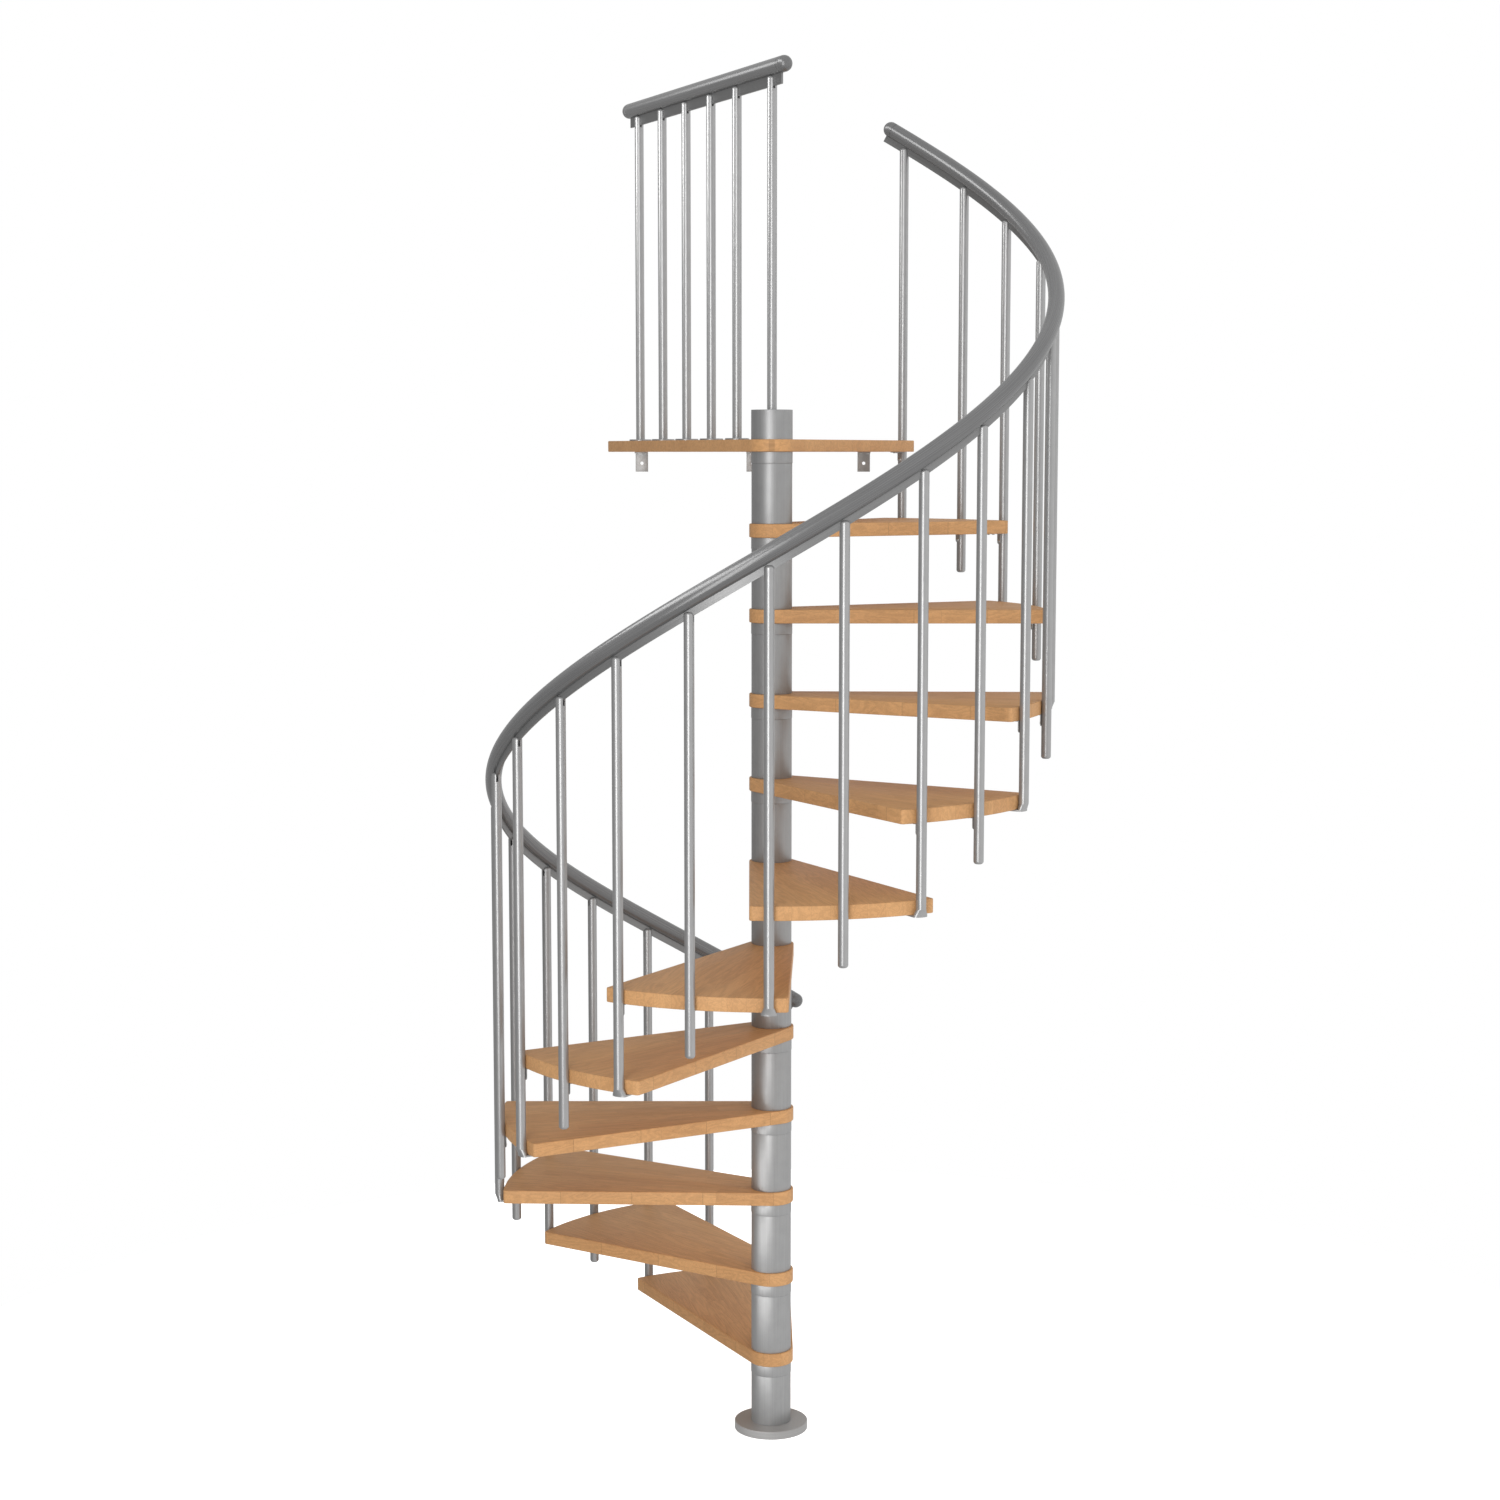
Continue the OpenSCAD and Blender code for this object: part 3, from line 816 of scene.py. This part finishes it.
class STAIR_OT_boards(bpy.types.Operator):
    """Saws the treads and the landing, eases their edges and bores them for the pole"""

    bl_idname = "stair.boards"
    bl_label = "Saw the boards"

    def tread_arcs(self, oak):
        """The edge's slant and the turn of the corner roundings, about a tread's middle line."""
        corner_turn = STEP_TURN / 2 + math.asin(oak.corner_reach / TREAD_R)
        slant = corner_turn - math.asin(oak.hub_r / TREAD_R)
        rounding = slant + math.asin((oak.hub_r - oak.corner_r) / (TREAD_R - oak.corner_r))
        return slant, rounding

    def front_corner(self, oak, middle):
        slant, rounding = self.tread_arcs(oak)
        centre = polar(TREAD_R - oak.corner_r, middle - rounding)
        return arc(centre, oak.corner_r, middle - math.pi / 2 - slant, middle - rounding, CORNER_STEPS)

    def tread_outline(self, oak):
        slant, rounding = self.tread_arcs(oak)
        back_centre = polar(TREAD_R - oak.corner_r, rounding)
        return [
            *self.front_corner(oak, 0.0),
            *arc(Vector(), TREAD_R, -rounding, rounding, TREAD_STEPS)[1:],
            *arc(back_centre, oak.corner_r, rounding, math.pi / 2 + slant, CORNER_STEPS)[1:],
            *arc(Vector(), oak.hub_r, math.pi / 2 + slant, 3 * math.pi / 2 - slant, TREAD_STEPS),
        ]

    def landing_outline(self, oak):
        slant, rounding = self.tread_arcs(oak)
        middle = FIRST_TURN + LAST_TURN + STEP_TURN / 2
        arc_end = FIRST_TURN + LAST_TURN + oak.landing_arc
        back_left = Vector((low_of("landing").x, high_of("landing").y, 0))
        left_turn = math.atan2(back_left.y, back_left.x)
        tangent = left_turn + math.acos(oak.hub_r / back_left.length)
        return [
            *self.front_corner(oak, middle),
            *arc(Vector(), TREAD_R, middle - rounding, arc_end, LANDING_STEPS)[1:],
            Vector((TREAD_R * math.cos(arc_end), back_left.y, 0)),
            back_left,
            *arc(Vector(), oak.hub_r, tangent, middle - math.pi / 2 - slant, TREAD_STEPS),
        ]

    def board(self, oak, name, outline, thickness):
        """Board with its top at zero height, eased and bored."""
        piece = plate(name, outline, Vector((0, 0, -thickness)))
        ease_edges(piece, oak.easing, WOOD_BEVELS)
        drill(piece, POLE_R + SEAT_GAP, Vector((0, 0, -2 * BOARD_T)), Vector((0, 0, BOARD_T)), BORE_SIDES)
        return piece

    def lay_grain(self, piece, shift):
        write_vectors(piece, "grain", [vertex.co + shift for vertex in piece.data.vertices])

    def execute(self, context):
        oak = context.scene.stair_boards
        finish = oak_finish(oak)
        tread = self.board(oak, "oak_tread", self.tread_outline(oak), BOARD_T)
        for step, name in enumerate(TREADS):
            self.lay_grain(tread, GRAIN_START + step * GRAIN_STEP)
            place = about_column((step + 0.5) * STEP_TURN, z=high_of(name).z)
            hand_over(copy_to(tread, "oak_" + name, place), finish, "oak_boards", name)
        bpy.data.objects.remove(tread)
        landing = self.board(oak, "oak_landing", self.landing_outline(oak), LANDING_T)
        self.lay_grain(landing, LANDING_GRAIN)
        hand_over(set_down(landing, lift(LANDING_TOP)), finish, "oak_boards", "landing")
        return {"FINISHED"}


class STAIR_OT_balusters(bpy.types.Operator):
    """Stands the balusters on the stair: slotted tops, rounded tails and pressed feet"""

    bl_idname = "stair.balusters"
    bl_label = "Stand the balusters"

    def bar(self, tubes, name, z_low, z_high, slot_floor, round_foot=False):
        """Round bar with a rounded, slotted top."""
        edge = tubes.end_round
        flat = BALUSTER_R - edge
        top = arc(Vector((flat, z_high - edge, 0)), edge, 0, math.pi / 2, BAR_END_STEPS)
        tail = arc(Vector((flat, z_low + edge, 0)), edge, -math.pi / 2, 0, BAR_END_STEPS)
        foot = tail if round_foot else [Vector((BALUSTER_R, z_low, 0))]
        profile = [Vector((0, z_low, 0)), *foot, *top, Vector((0, z_high, 0))]
        piece = turned(name, profile, tubes.sides)
        reach = 2 * BALUSTER_R
        low = Vector((-tubes.slot / 2, -reach, slot_floor))
        cut(piece, block("slot", low, Vector((tubes.slot / 2, reach, z_high + reach))))
        return piece

    def stair_bar(self, context, name, turn, z_low, round_foot=False):
        """Bar under the handrail, whose top stays clear of the rail's sloping underside."""
        tubes = context.scene.stair_balusters
        rails = context.scene.stair_rails
        steep = math.cos(RAIL_SLOPE)
        rail_low = rail_z(rails, turn) - RAIL_R / steep
        flat = BALUSTER_R - tubes.end_round
        shoulder = flat * math.tan(RAIL_SLOPE) + (tubes.end_round + SEAT_GAP) / steep
        z_high = rail_low - shoulder + tubes.end_round
        slot_floor = rail_low - rails.strip_show / steep - BALUSTER_R * math.tan(RAIL_SLOPE) - SEAT_GAP
        return self.bar(tubes, name, z_low, z_high, slot_floor, round_foot)

    def pressed_foot(self, tubes, under):
        """End of a tube pressed flat, flared and bent in under its tread."""
        deselect_all()
        bpy.ops.mesh.primitive_circle_add(
            vertices=tubes.sides, radius=BALUSTER_R, location=(0, 0, under + tubes.press_h))
        piece = bpy.context.active_object
        outer = BALUSTER_R - tubes.press_draw
        slab_x = (outer + BALUSTER_R) / 2
        centre_x = (outer - BALUSTER_R) / 2
        edit(piece)
        bpy.ops.mesh.extrude_region_move(TRANSFORM_OT_translate={"value": (centre_x, 0, -tubes.press_h)})
        bpy.ops.transform.resize(
            value=(slab_x / BALUSTER_R, tubes.press_w / 2 / BALUSTER_R, 1),
            center_override=(centre_x, 0, under))
        bpy.ops.mesh.extrude_region_move(TRANSFORM_OT_translate={"value": (0, 0, -tubes.press_t)})
        bpy.ops.mesh.edge_face_add()
        tidy_mesh()
        leave_edit()
        tab_low = Vector((-BALUSTER_R - tubes.tab, -tubes.press_w / 2, under - tubes.press_t))
        tab = block("tab", tab_low, Vector((centre_x, tubes.press_w / 2, under)))
        ease_edges(tab, tubes.press_t * TAB_EASING_SHARE, METAL_BEVELS)
        return joined([piece, tab])

    def execute(self, context):
        tubes = context.scene.stair_balusters
        finish = silver_finish("baluster_paint", tubes.paint, metal=0.60, gloss=0.33, streaks=0.02, peel=0.0)
        under = low_of(TREADS[0]).z
        standing = self.stair_bar(context, "standing_bar", STEP_TURN, under + tubes.press_h)
        standing = joined([standing, self.pressed_foot(tubes, under)])
        for step, name in enumerate(TREADS):
            suffix = name.removeprefix("tread_")
            turn = middle_turn(step)
            tail = low_of(name).z - tubes.tail
            hanging = self.stair_bar(context, "stair_balusters_" + suffix, turn, tail, True)
            set_down(hanging, about_column(turn, CIRCLE_R))
            place = about_column((step + 1) * STEP_TURN, CIRCLE_R, step * RISE)
            pair = joined([hanging, copy_to(standing, "standing_" + suffix, place)])
            hand_over(pair, finish, "baluster_paint", "balusters_" + suffix)
        bpy.data.objects.remove(standing)
        first = set_down(self.stair_bar(context, "first_stair_baluster", 0, 0.0), about_column(0, CIRCLE_R))
        hand_over(first, finish, "baluster_paint", "first_baluster")
        self.landing_bars(context, finish)
        return {"FINISHED"}

    def landing_bars(self, context, finish):
        """Balusters under the landing rail, their round feet and the one on the column."""
        tubes = context.scene.stair_balusters
        rails = context.scene.stair_rails
        guard = context.scene.stair_landing_rail
        rail_low = low_of("landing_rail").z
        slot_floor = rail_low - rails.guard_show - guard.slot_extra
        z_high = rail_low - SEAT_GAP
        foot_top = LANDING_TOP + guard.foot_t
        places = [
            along_guard(guard, guard.first + place * guard.pitch) @ Matrix.Rotation(math.pi / 2, 4, "Z")
            for place in range(guard.balusters)
        ]
        bars = row(self.bar(tubes, "landing_bar", foot_top, z_high, slot_floor), "landing_bars", places)
        hand_over(bars, finish, "baluster_paint", "landing_balusters")
        edge = tubes.foot_edge
        rim = arc(Vector((guard.foot_r - edge, foot_top - edge, 0)), edge, 0, math.pi / 2, RIM_STEPS)
        seat = [Vector((0, LANDING_TOP, 0)), Vector((guard.foot_r, LANDING_TOP, 0))]
        profile = [*seat, *rim, Vector((0, foot_top, 0))]
        feet = row(turned("landing_foot", profile, FOOT_SIDES), "landing_feet", places)
        hand_over(feet, finish, "baluster_paint", "landing_baluster_feet")
        column_bar = self.bar(tubes, "column_bar", low_of("column_baluster").z, z_high, slot_floor)
        set_down(column_bar, along_guard(guard) @ Matrix.Rotation(math.pi / 2, 4, "Z"))
        hand_over(column_bar, finish, "baluster_paint", "column_baluster")


class STAIR_OT_rails(bpy.types.Operator):
    """Bends the handrail and its strip up the stair, and fits the straight rail on the landing"""

    bl_idname = "stair.rails"
    bl_label = "Fit the rails"

    def rail_section(self, rails):
        """Round section with a groove below, as offsets out from the stair and up across the rail."""
        half = rails.strip_t / 2 + SEAT_GAP
        mouth = math.asin(half / RAIL_R)
        around = arc(Vector(), RAIL_R, -math.pi / 2 + mouth, 3 * math.pi / 2 - mouth, rails.sides)
        floor = rails.groove - RAIL_R
        return [*around, Vector((-half, floor, 0)), Vector((half, floor, 0))]

    def strip_section(self, rails, show):
        half = rails.strip_t / 2
        low = -RAIL_R - show
        high = rails.groove - RAIL_R - SEAT_GAP
        corners = ((half, low), (half, high), (-half, high), (-half, low))
        return [Vector((out, up, 0)) for out, up in corners]

    def helix(self, rails, name, section, turn_low, turn_high):
        """Section swept up the stair, square to the rail."""
        tilt = Matrix.Rotation(RAIL_SLOPE, 4, "X")
        stood = [tilt @ point + Vector((CIRCLE_R, 0, 0)) for point in upright(section)]
        piece = draw_line(name, stood + stood[:1])
        edit(piece)
        bpy.ops.mesh.remove_doubles(threshold=WELD)
        leave_edit()
        apply_modifier(
            piece, "SCREW", axis="Z", angle=turn_high - turn_low, steps=rails.steps, render_steps=rails.steps,
            screw_offset=(turn_high - turn_low) * RISE / STEP_TURN, use_merge_vertices=False)
        edit(piece)
        bpy.ops.mesh.fill_holes(sides=0)
        tidy_mesh()
        leave_edit()
        return set_down(piece, lift(rail_z(rails, turn_low)) @ Matrix.Rotation(FIRST_TURN + turn_low, 4, "Z"))

    def store_run(self, rails, piece):
        """Stores each point of a bent piece as it would lie on a straight rail."""
        run = []
        for vertex in piece.data.vertices:
            out = vertex.co.xy.length - CIRCLE_R
            turn = math.atan2(vertex.co.y, vertex.co.x) - FIRST_TURN
            turn += math.tau * round((vertex.co.z - rail_z(rails, turn)) / (math.tau * RISE / STEP_TURN))
            up = (vertex.co.z - rail_z(rails, turn)) * math.cos(RAIL_SLOPE)
            run.append((turn * CIRCLE_R / math.cos(RAIL_SLOPE), out, up))
        write_vectors(piece, "run", run)

    def store_straight_run(self, piece):
        """Stores each point of a piece that is drawn along +Z, the length of the rail first."""
        write_vectors(piece, "run", [vertex.co.zxy for vertex in piece.data.vertices])

    def cap(self, rails, name):
        """End cap along +Z: a seam, a collar and a dome."""
        seam = rails.seam
        foot = [Vector((0, 0, 0)), Vector((RAIL_R - seam, 0, 0)), Vector((RAIL_R - seam, seam, 0))]
        collar = [Vector((RAIL_R, COLLAR_RISE_SHARE * seam, 0))]
        dome = arc(Vector((0, rails.collar, 0)), RAIL_R, 0, math.pi / 2, DOME_STEPS)
        return turned(name, foot + collar + dome, rails.sides)

    def slotted_cap(self, rails, name, below):
        """End cap with a slot for the strip's end; below is the sign of its underside along Y."""
        piece = self.cap(rails, name)
        half = rails.strip_t / 2 + SEAT_GAP
        sides = sorted((below * (RAIL_R - rails.groove), below * 2 * RAIL_R))
        low = Vector((-half, sides[0], -RAIL_R))
        cut(piece, block("strip_slot", low, Vector((half, sides[1], rails.strip_past + SEAT_GAP))))
        return piece

    def handrail(self, context, plastic, metal):
        rails = context.scene.stair_rails
        turn_per_m = math.cos(RAIL_SLOPE) / CIRCLE_R
        turn_low = -rails.low_end * turn_per_m
        turn_high = LAST_TURN + rails.high_end * turn_per_m
        past = rails.strip_past * turn_per_m
        rail = self.helix(rails, "bent_handrail", self.rail_section(rails), turn_low, turn_high)
        self.store_run(rails, rail)
        hand_over(rail, plastic, "rail_plastic", "handrail")
        section = self.strip_section(rails, rails.strip_show)
        strip = self.helix(rails, "bent_strip", section, turn_low - past, turn_high + past)
        self.store_run(rails, strip)
        hand_over(strip, metal, "strip_metal", "handrail_strip")
        caps = []
        for turn, below in ((turn_low, -1), (turn_high, 1)):
            slope = Matrix.Rotation(RAIL_SLOPE - below * math.pi / 2, 4, "X")
            place = about_column(turn, CIRCLE_R, rail_z(rails, turn)) @ slope
            caps.append(set_down(self.slotted_cap(rails, "handrail_end_caps", below), place))
        caps = joined(caps)
        self.store_run(rails, caps)
        hand_over(caps, plastic, "rail_plastic", "handrail_caps")

    def landing_rail(self, context, plastic, metal):
        rails = context.scene.stair_rails
        guard = context.scene.stair_landing_rail
        last = guard.first + (guard.balusters - 1) * guard.pitch
        centre = middle_of("landing_rail").z
        # Lays what was extruded upwards along the rail, with its section's Y upwards
        flat = Matrix(((0, 0, 1, 0), (1, 0, 0, 0), (0, 1, 0, 0), (0, 0, 0, 1)))
        round_section = self.rail_section(rails)
        flat_section = self.strip_section(rails, rails.guard_show)
        lengths = (
            ("straight_rail", round_section, guard.end, plastic, "rail_plastic", "landing_rail"),
            ("straight_strip", flat_section, guard.strip_end, metal, "strip_metal", "landing_rail_strip"),
        )
        for name, section, end, finish, slot, node in lengths:
            piece = plate(name, section, Vector((0, 0, last + 2 * end)))
            self.store_straight_run(piece)
            hand_over(set_down(piece, along_guard(guard, -end, centre) @ flat), finish, slot, node)
        caps = []
        for distance, tip in ((last + guard.end, math.pi / 2), (-guard.end, -math.pi / 2)):
            place = along_guard(guard, distance, centre) @ Matrix.Rotation(tip, 4, "Y")
            cap = self.cap(rails, "landing_end_caps")
            self.store_straight_run(cap)
            caps.append(set_down(cap, place))
        hand_over(joined(caps), plastic, "rail_plastic", "landing_rail_caps")

    def execute(self, context):
        plastic = rail_finish(context.scene.stair_rails)
        metal = strip_finish(context.scene.stair_rails)
        self.handrail(context, plastic, metal)
        self.landing_rail(context, plastic, metal)
        return {"FINISHED"}


class STAIR_OT_brackets(bpy.types.Operator):
    """Folds the tread brackets and the wall brackets, and drives their screws"""

    bl_idname = "stair.brackets"
    bl_label = "Fold the brackets"

    def tread_bracket(self, angle):
        """Bracket with its corner at the origin: a plate towards the column and a round-ended leaf."""
        half = angle.wide / 2
        leaf = [
            Vector((half, 0, 0)),
            *arc(Vector((0, half - angle.leaf, 0)), half, 0, -math.pi, LEAF_STEPS),
            Vector((-half, 0, 0)),
        ]
        stood = [Vector((0, point.x, point.y)) for point in leaf]
        hanging = plate("tread_bracket", stood, Vector((-angle.thick, 0, 0)))
        inner_end = Vector((-angle.long, -half, -angle.thick))
        flat = block("bracket_plate", inner_end, Vector((-SEAT_GAP, half, 0)))
        ease_edges(hanging, angle.edge, METAL_BEVELS)
        ease_edges(flat, angle.edge, METAL_BEVELS)
        return joined([hanging, flat])

    def screw(self, name, radius, rise_share):
        """Domed screw head with a cross recess, its seat at the origin and its head down."""
        rise = radius * rise_share
        turns = [math.pi / 2 * step / SCREW_STEPS for step in range(SCREW_STEPS + 1)]
        dome = [Vector((radius * math.cos(turn), -rise * math.sin(turn), 0)) for turn in turns]
        piece = turned(name, [Vector((0, 0, 0)), *dome], SCREW_SIDES)
        arms = (radius * RECESS_LONG_SHARE, radius * RECESS_WIDE_SHARE)
        for long, wide in (arms, arms[::-1]):
            low = Vector((-long, -wide, -2 * rise))
            cut(piece, block("recess", low, Vector((long, wide, -RECESS_FLOOR_SHARE * rise))))
        return piece

    def wall_bracket(self, angle, name):
        """Folded plate with a hole, cut to the corners of its frame node."""
        low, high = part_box(name)
        back = Vector((low.x, high.y - angle.wall_t, low.z))
        upright_leaf = block(name + "_folded", back, high)
        front = Vector((low.x, low.y, high.z - angle.wall_t))
        shelf = block("shelf", front, Vector((high.x, high.y - angle.wall_t / 2, high.z)))
        apply_modifier(upright_leaf, "BOOLEAN", operation="UNION", object=shelf, solver="EXACT")
        bpy.data.objects.remove(shelf)
        ease_edges(upright_leaf, angle.edge, METAL_BEVELS)
        hole = Vector(((low.x + high.x) / 2, high.y, high.z - angle.wall_hole_drop))
        reach = Vector((0, 3 * angle.wall_t, 0))
        drill(upright_leaf, angle.wall_hole_r, hole - reach, hole + reach, HOLE_SIDES)
        return upright_leaf

    def execute(self, context):
        angle = context.scene.stair_brackets
        finish = bracket_finish(angle)
        steel = screw_finish(angle)
        places = [about_column(LAST_TURN, TREAD_R, LANDING_UNDER)]
        tabs = []
        for step, name in enumerate(TREADS):
            under = low_of(name).z
            places.append(about_column(step * STEP_TURN, TREAD_R, under))
            places.append(about_column(middle_turn(step), TREAD_R, under))
            tabs.append(about_column((step + 1) * STEP_TURN, TREAD_R, under))
        brackets = row(self.tread_bracket(angle), "folded_brackets", places)
        hand_over(brackets, finish, "bracket_metal", "tread_brackets")
        inner_place = Matrix.Translation((-angle.thick, 0, angle.wide / 2 - angle.leaf))
        inside = inner_place @ Matrix.Rotation(math.pi / 2, 4, "Y")
        leaf_screw = self.screw("leaf_screw", angle.leaf_screw_r, LEAF_SCREW_RISE_SHARE)
        leaf_screws = row(leaf_screw, "leaf_screws", [place @ inside for place in places])
        hand_over(leaf_screws, steel, "bracket_metal")
        inward = [Matrix.Translation((-angle.long * reach, 0, -angle.thick)) for reach in SCREW_REACH_SHARES]
        screws = [place @ shift for place in places for shift in inward]
        tab_t = context.scene.stair_balusters.press_t
        tab_reach = angle.long * TAB_REACH_SHARE
        sides = (-angle.tab_spread, angle.tab_spread)
        sideways = [Matrix.Translation((-tab_reach, side, -tab_t)) for side in sides]
        screws += [place @ shift for place in tabs for shift in sideways]
        for name in ("wall_bracket_left", "wall_bracket_middle", "wall_bracket_right"):
            hand_over(self.wall_bracket(angle, name), finish, "bracket_metal", name)
            low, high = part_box(name)
            for side in (-angle.wall_spread, angle.wall_spread):
                seat = (middle_of(name).x + side, low.y + angle.wall_inset, high.z - angle.wall_t)
                screws.append(Matrix.Translation(seat))
        heads = row(self.screw("screw", angle.screw_r, SCREW_RISE_SHARE), "wood_screws", screws)
        hand_over(heads, steel, "bracket_metal")
        return {"FINISHED"}


class STAIR_OT_stage(bpy.types.Operator):
    """Lays the pale floor, sets the soft lights and the camera"""

    bl_idname = "stair.stage"
    bl_label = "Set the stage"

    def floor(self, stage):
        deselect_all()
        bpy.ops.mesh.primitive_circle_add(vertices=FLOOR_SIDES, radius=stage.floor_r, fill_type="NGON")
        floor = bpy.context.active_object
        floor.name = "floor"
        pale = Finish("pale_floor")
        cloud = pale.noise(pale.place(), 3.0, 3.0)
        pale.feed(Base_Color=pale.shade(stage.floor, pale.between(cloud, 0.985, 1.0)), Roughness=0.9)
        pale.feed(Emission_Color=(1, 1, 1, 1), Emission_Strength=0.9)
        floor.data.materials.append(pale.material)
        floor.visible_diffuse = False
        floor.visible_glossy = False

    def sky(self):
        """White for the camera; for the staircase a dim room, lighter on the right."""
        world = bpy.data.worlds.new("soft_room")
        bpy.context.scene.world = world
        world.use_nodes = True
        sky = Nodes(world.node_tree)
        way = sky.add("ShaderNodeTexCoord", output="Generated")
        slant = sky.add(
            "ShaderNodeVectorMath", {"operation": "DOT_PRODUCT"}, {0: way, 1: ROOM_SLANT}, output="Value")
        seen = sky.add("ShaderNodeLightPath", output="Is Camera Ray")
        level = slant + ROOM_LEVEL
        room = sky.add("ShaderNodeCombineXYZ", inputs={0: level, 1: level, 2: level})
        tone = sky.add("ShaderNodeMix", {"data_type": "RGBA"}, {0: seen, 6: room, 7: (1, 1, 1, 1)}, output=2)
        sky.fill(world.node_tree.nodes["Background"].inputs["Color"], tone)

    def lamp(self, name, watts, wide, tall, place, aim):
        """Rectangular soft lamp that faces the point it is aimed at."""
        bpy.ops.object.light_add(type="AREA", location=place)
        lamp = bpy.context.active_object
        lamp.name = name
        lamp.data.shape = "RECTANGLE"
        lamp.data.size = wide
        lamp.data.size_y = tall
        lamp.data.energy = watts
        lamp.rotation_euler = (Vector(aim) - Vector(place)).to_track_quat("-Z", "Y").to_euler()
        return lamp

    def light_only(self, name, starts, *lamps):
        """Keeps lamps to the dressed pieces whose name or finish starts as given."""
        lit = bpy.data.collections.new(name)
        for piece in bpy.context.scene.objects:
            if piece.type == "MESH" and not piece.hide_render:
                if piece.name.startswith(starts) or piece.active_material.name.startswith(starts):
                    lit.objects.link(piece)
        for lamp in lamps:
            lamp.light_linking.receiver_collection = lit

    def camera(self, stage):
        place = polar(stage.distance, stage.swing - math.pi / 2, stage.height)
        bpy.ops.object.camera_add(location=place, rotation=(math.pi / 2 - stage.pitch, 0, stage.heading))
        camera = bpy.context.active_object
        camera.data.lens = stage.lens
        camera.data.sensor_width = SENSOR_W
        bpy.context.scene.camera = camera

    def execute(self, context):
        stage = context.scene.stair_stage
        deselect_all()
        self.camera(stage)
        self.floor(stage)
        self.sky()
        lamps = {name: self.lamp(name, getattr(stage, name), *sizes) for name, sizes in LAMPS.items()}
        lamps["back"].visible_diffuse = False
        top_bars = ["stair_balusters_" + name.removeprefix("tread_") for name in TREADS[-TOP_TREADS:]]
        self.light_only("rails_lit", ("rail_plastic",), lamps["side"], lamps["back"])
        self.light_only("top_bars_lit", ("landing_bars", "column_bar", *top_bars), lamps["left"])
        self.light_only("column_lit", ("column_paint", "flange_paint"), lamps["low"])
        context.scene.view_settings.view_transform = "Standard"
        return {"FINISHED"}


class STAIR_PT_panel(bpy.types.Panel):
    """Lists the steps that dress the staircase"""

    bl_idname = "STAIR_PT_panel"
    bl_label = "Spiral staircase"
    bl_space_type = "VIEW_3D"
    bl_region_type = "UI"
    bl_category = "Staircase"

    def draw(self, context):
        for operator in OPERATORS:
            self.layout.operator(operator.bl_idname)


GROUPS = {
    "stair_boards": OakBoards,
    "stair_column": Column,
    "stair_balusters": Balusters,
    "stair_rails": Rails,
    "stair_landing_rail": LandingRail,
    "stair_brackets": Brackets,
    "stair_stage": Stage,
}
OPERATORS = (
    STAIR_OT_column,
    STAIR_OT_boards,
    STAIR_OT_balusters,
    STAIR_OT_rails,
    STAIR_OT_brackets,
    STAIR_OT_stage,
)


def register():
    for group, kind in GROUPS.items():
        bpy.utils.register_class(kind)
        setattr(bpy.types.Scene, group, PointerProperty(type=kind))
    for kind in (*OPERATORS, STAIR_PT_panel):
        bpy.utils.register_class(kind)


def unregister():
    for kind in (STAIR_PT_panel, *reversed(OPERATORS)):
        bpy.utils.unregister_class(kind)
    for group, kind in GROUPS.items():
        delattr(bpy.types.Scene, group)
        bpy.utils.unregister_class(kind)


def main():
    register()
    bpy.ops.stair.column()
    bpy.ops.stair.boards()
    bpy.ops.stair.balusters()
    bpy.ops.stair.rails()
    bpy.ops.stair.brackets()
    bpy.ops.stair.stage()


if __name__ == "__main__":
    main()
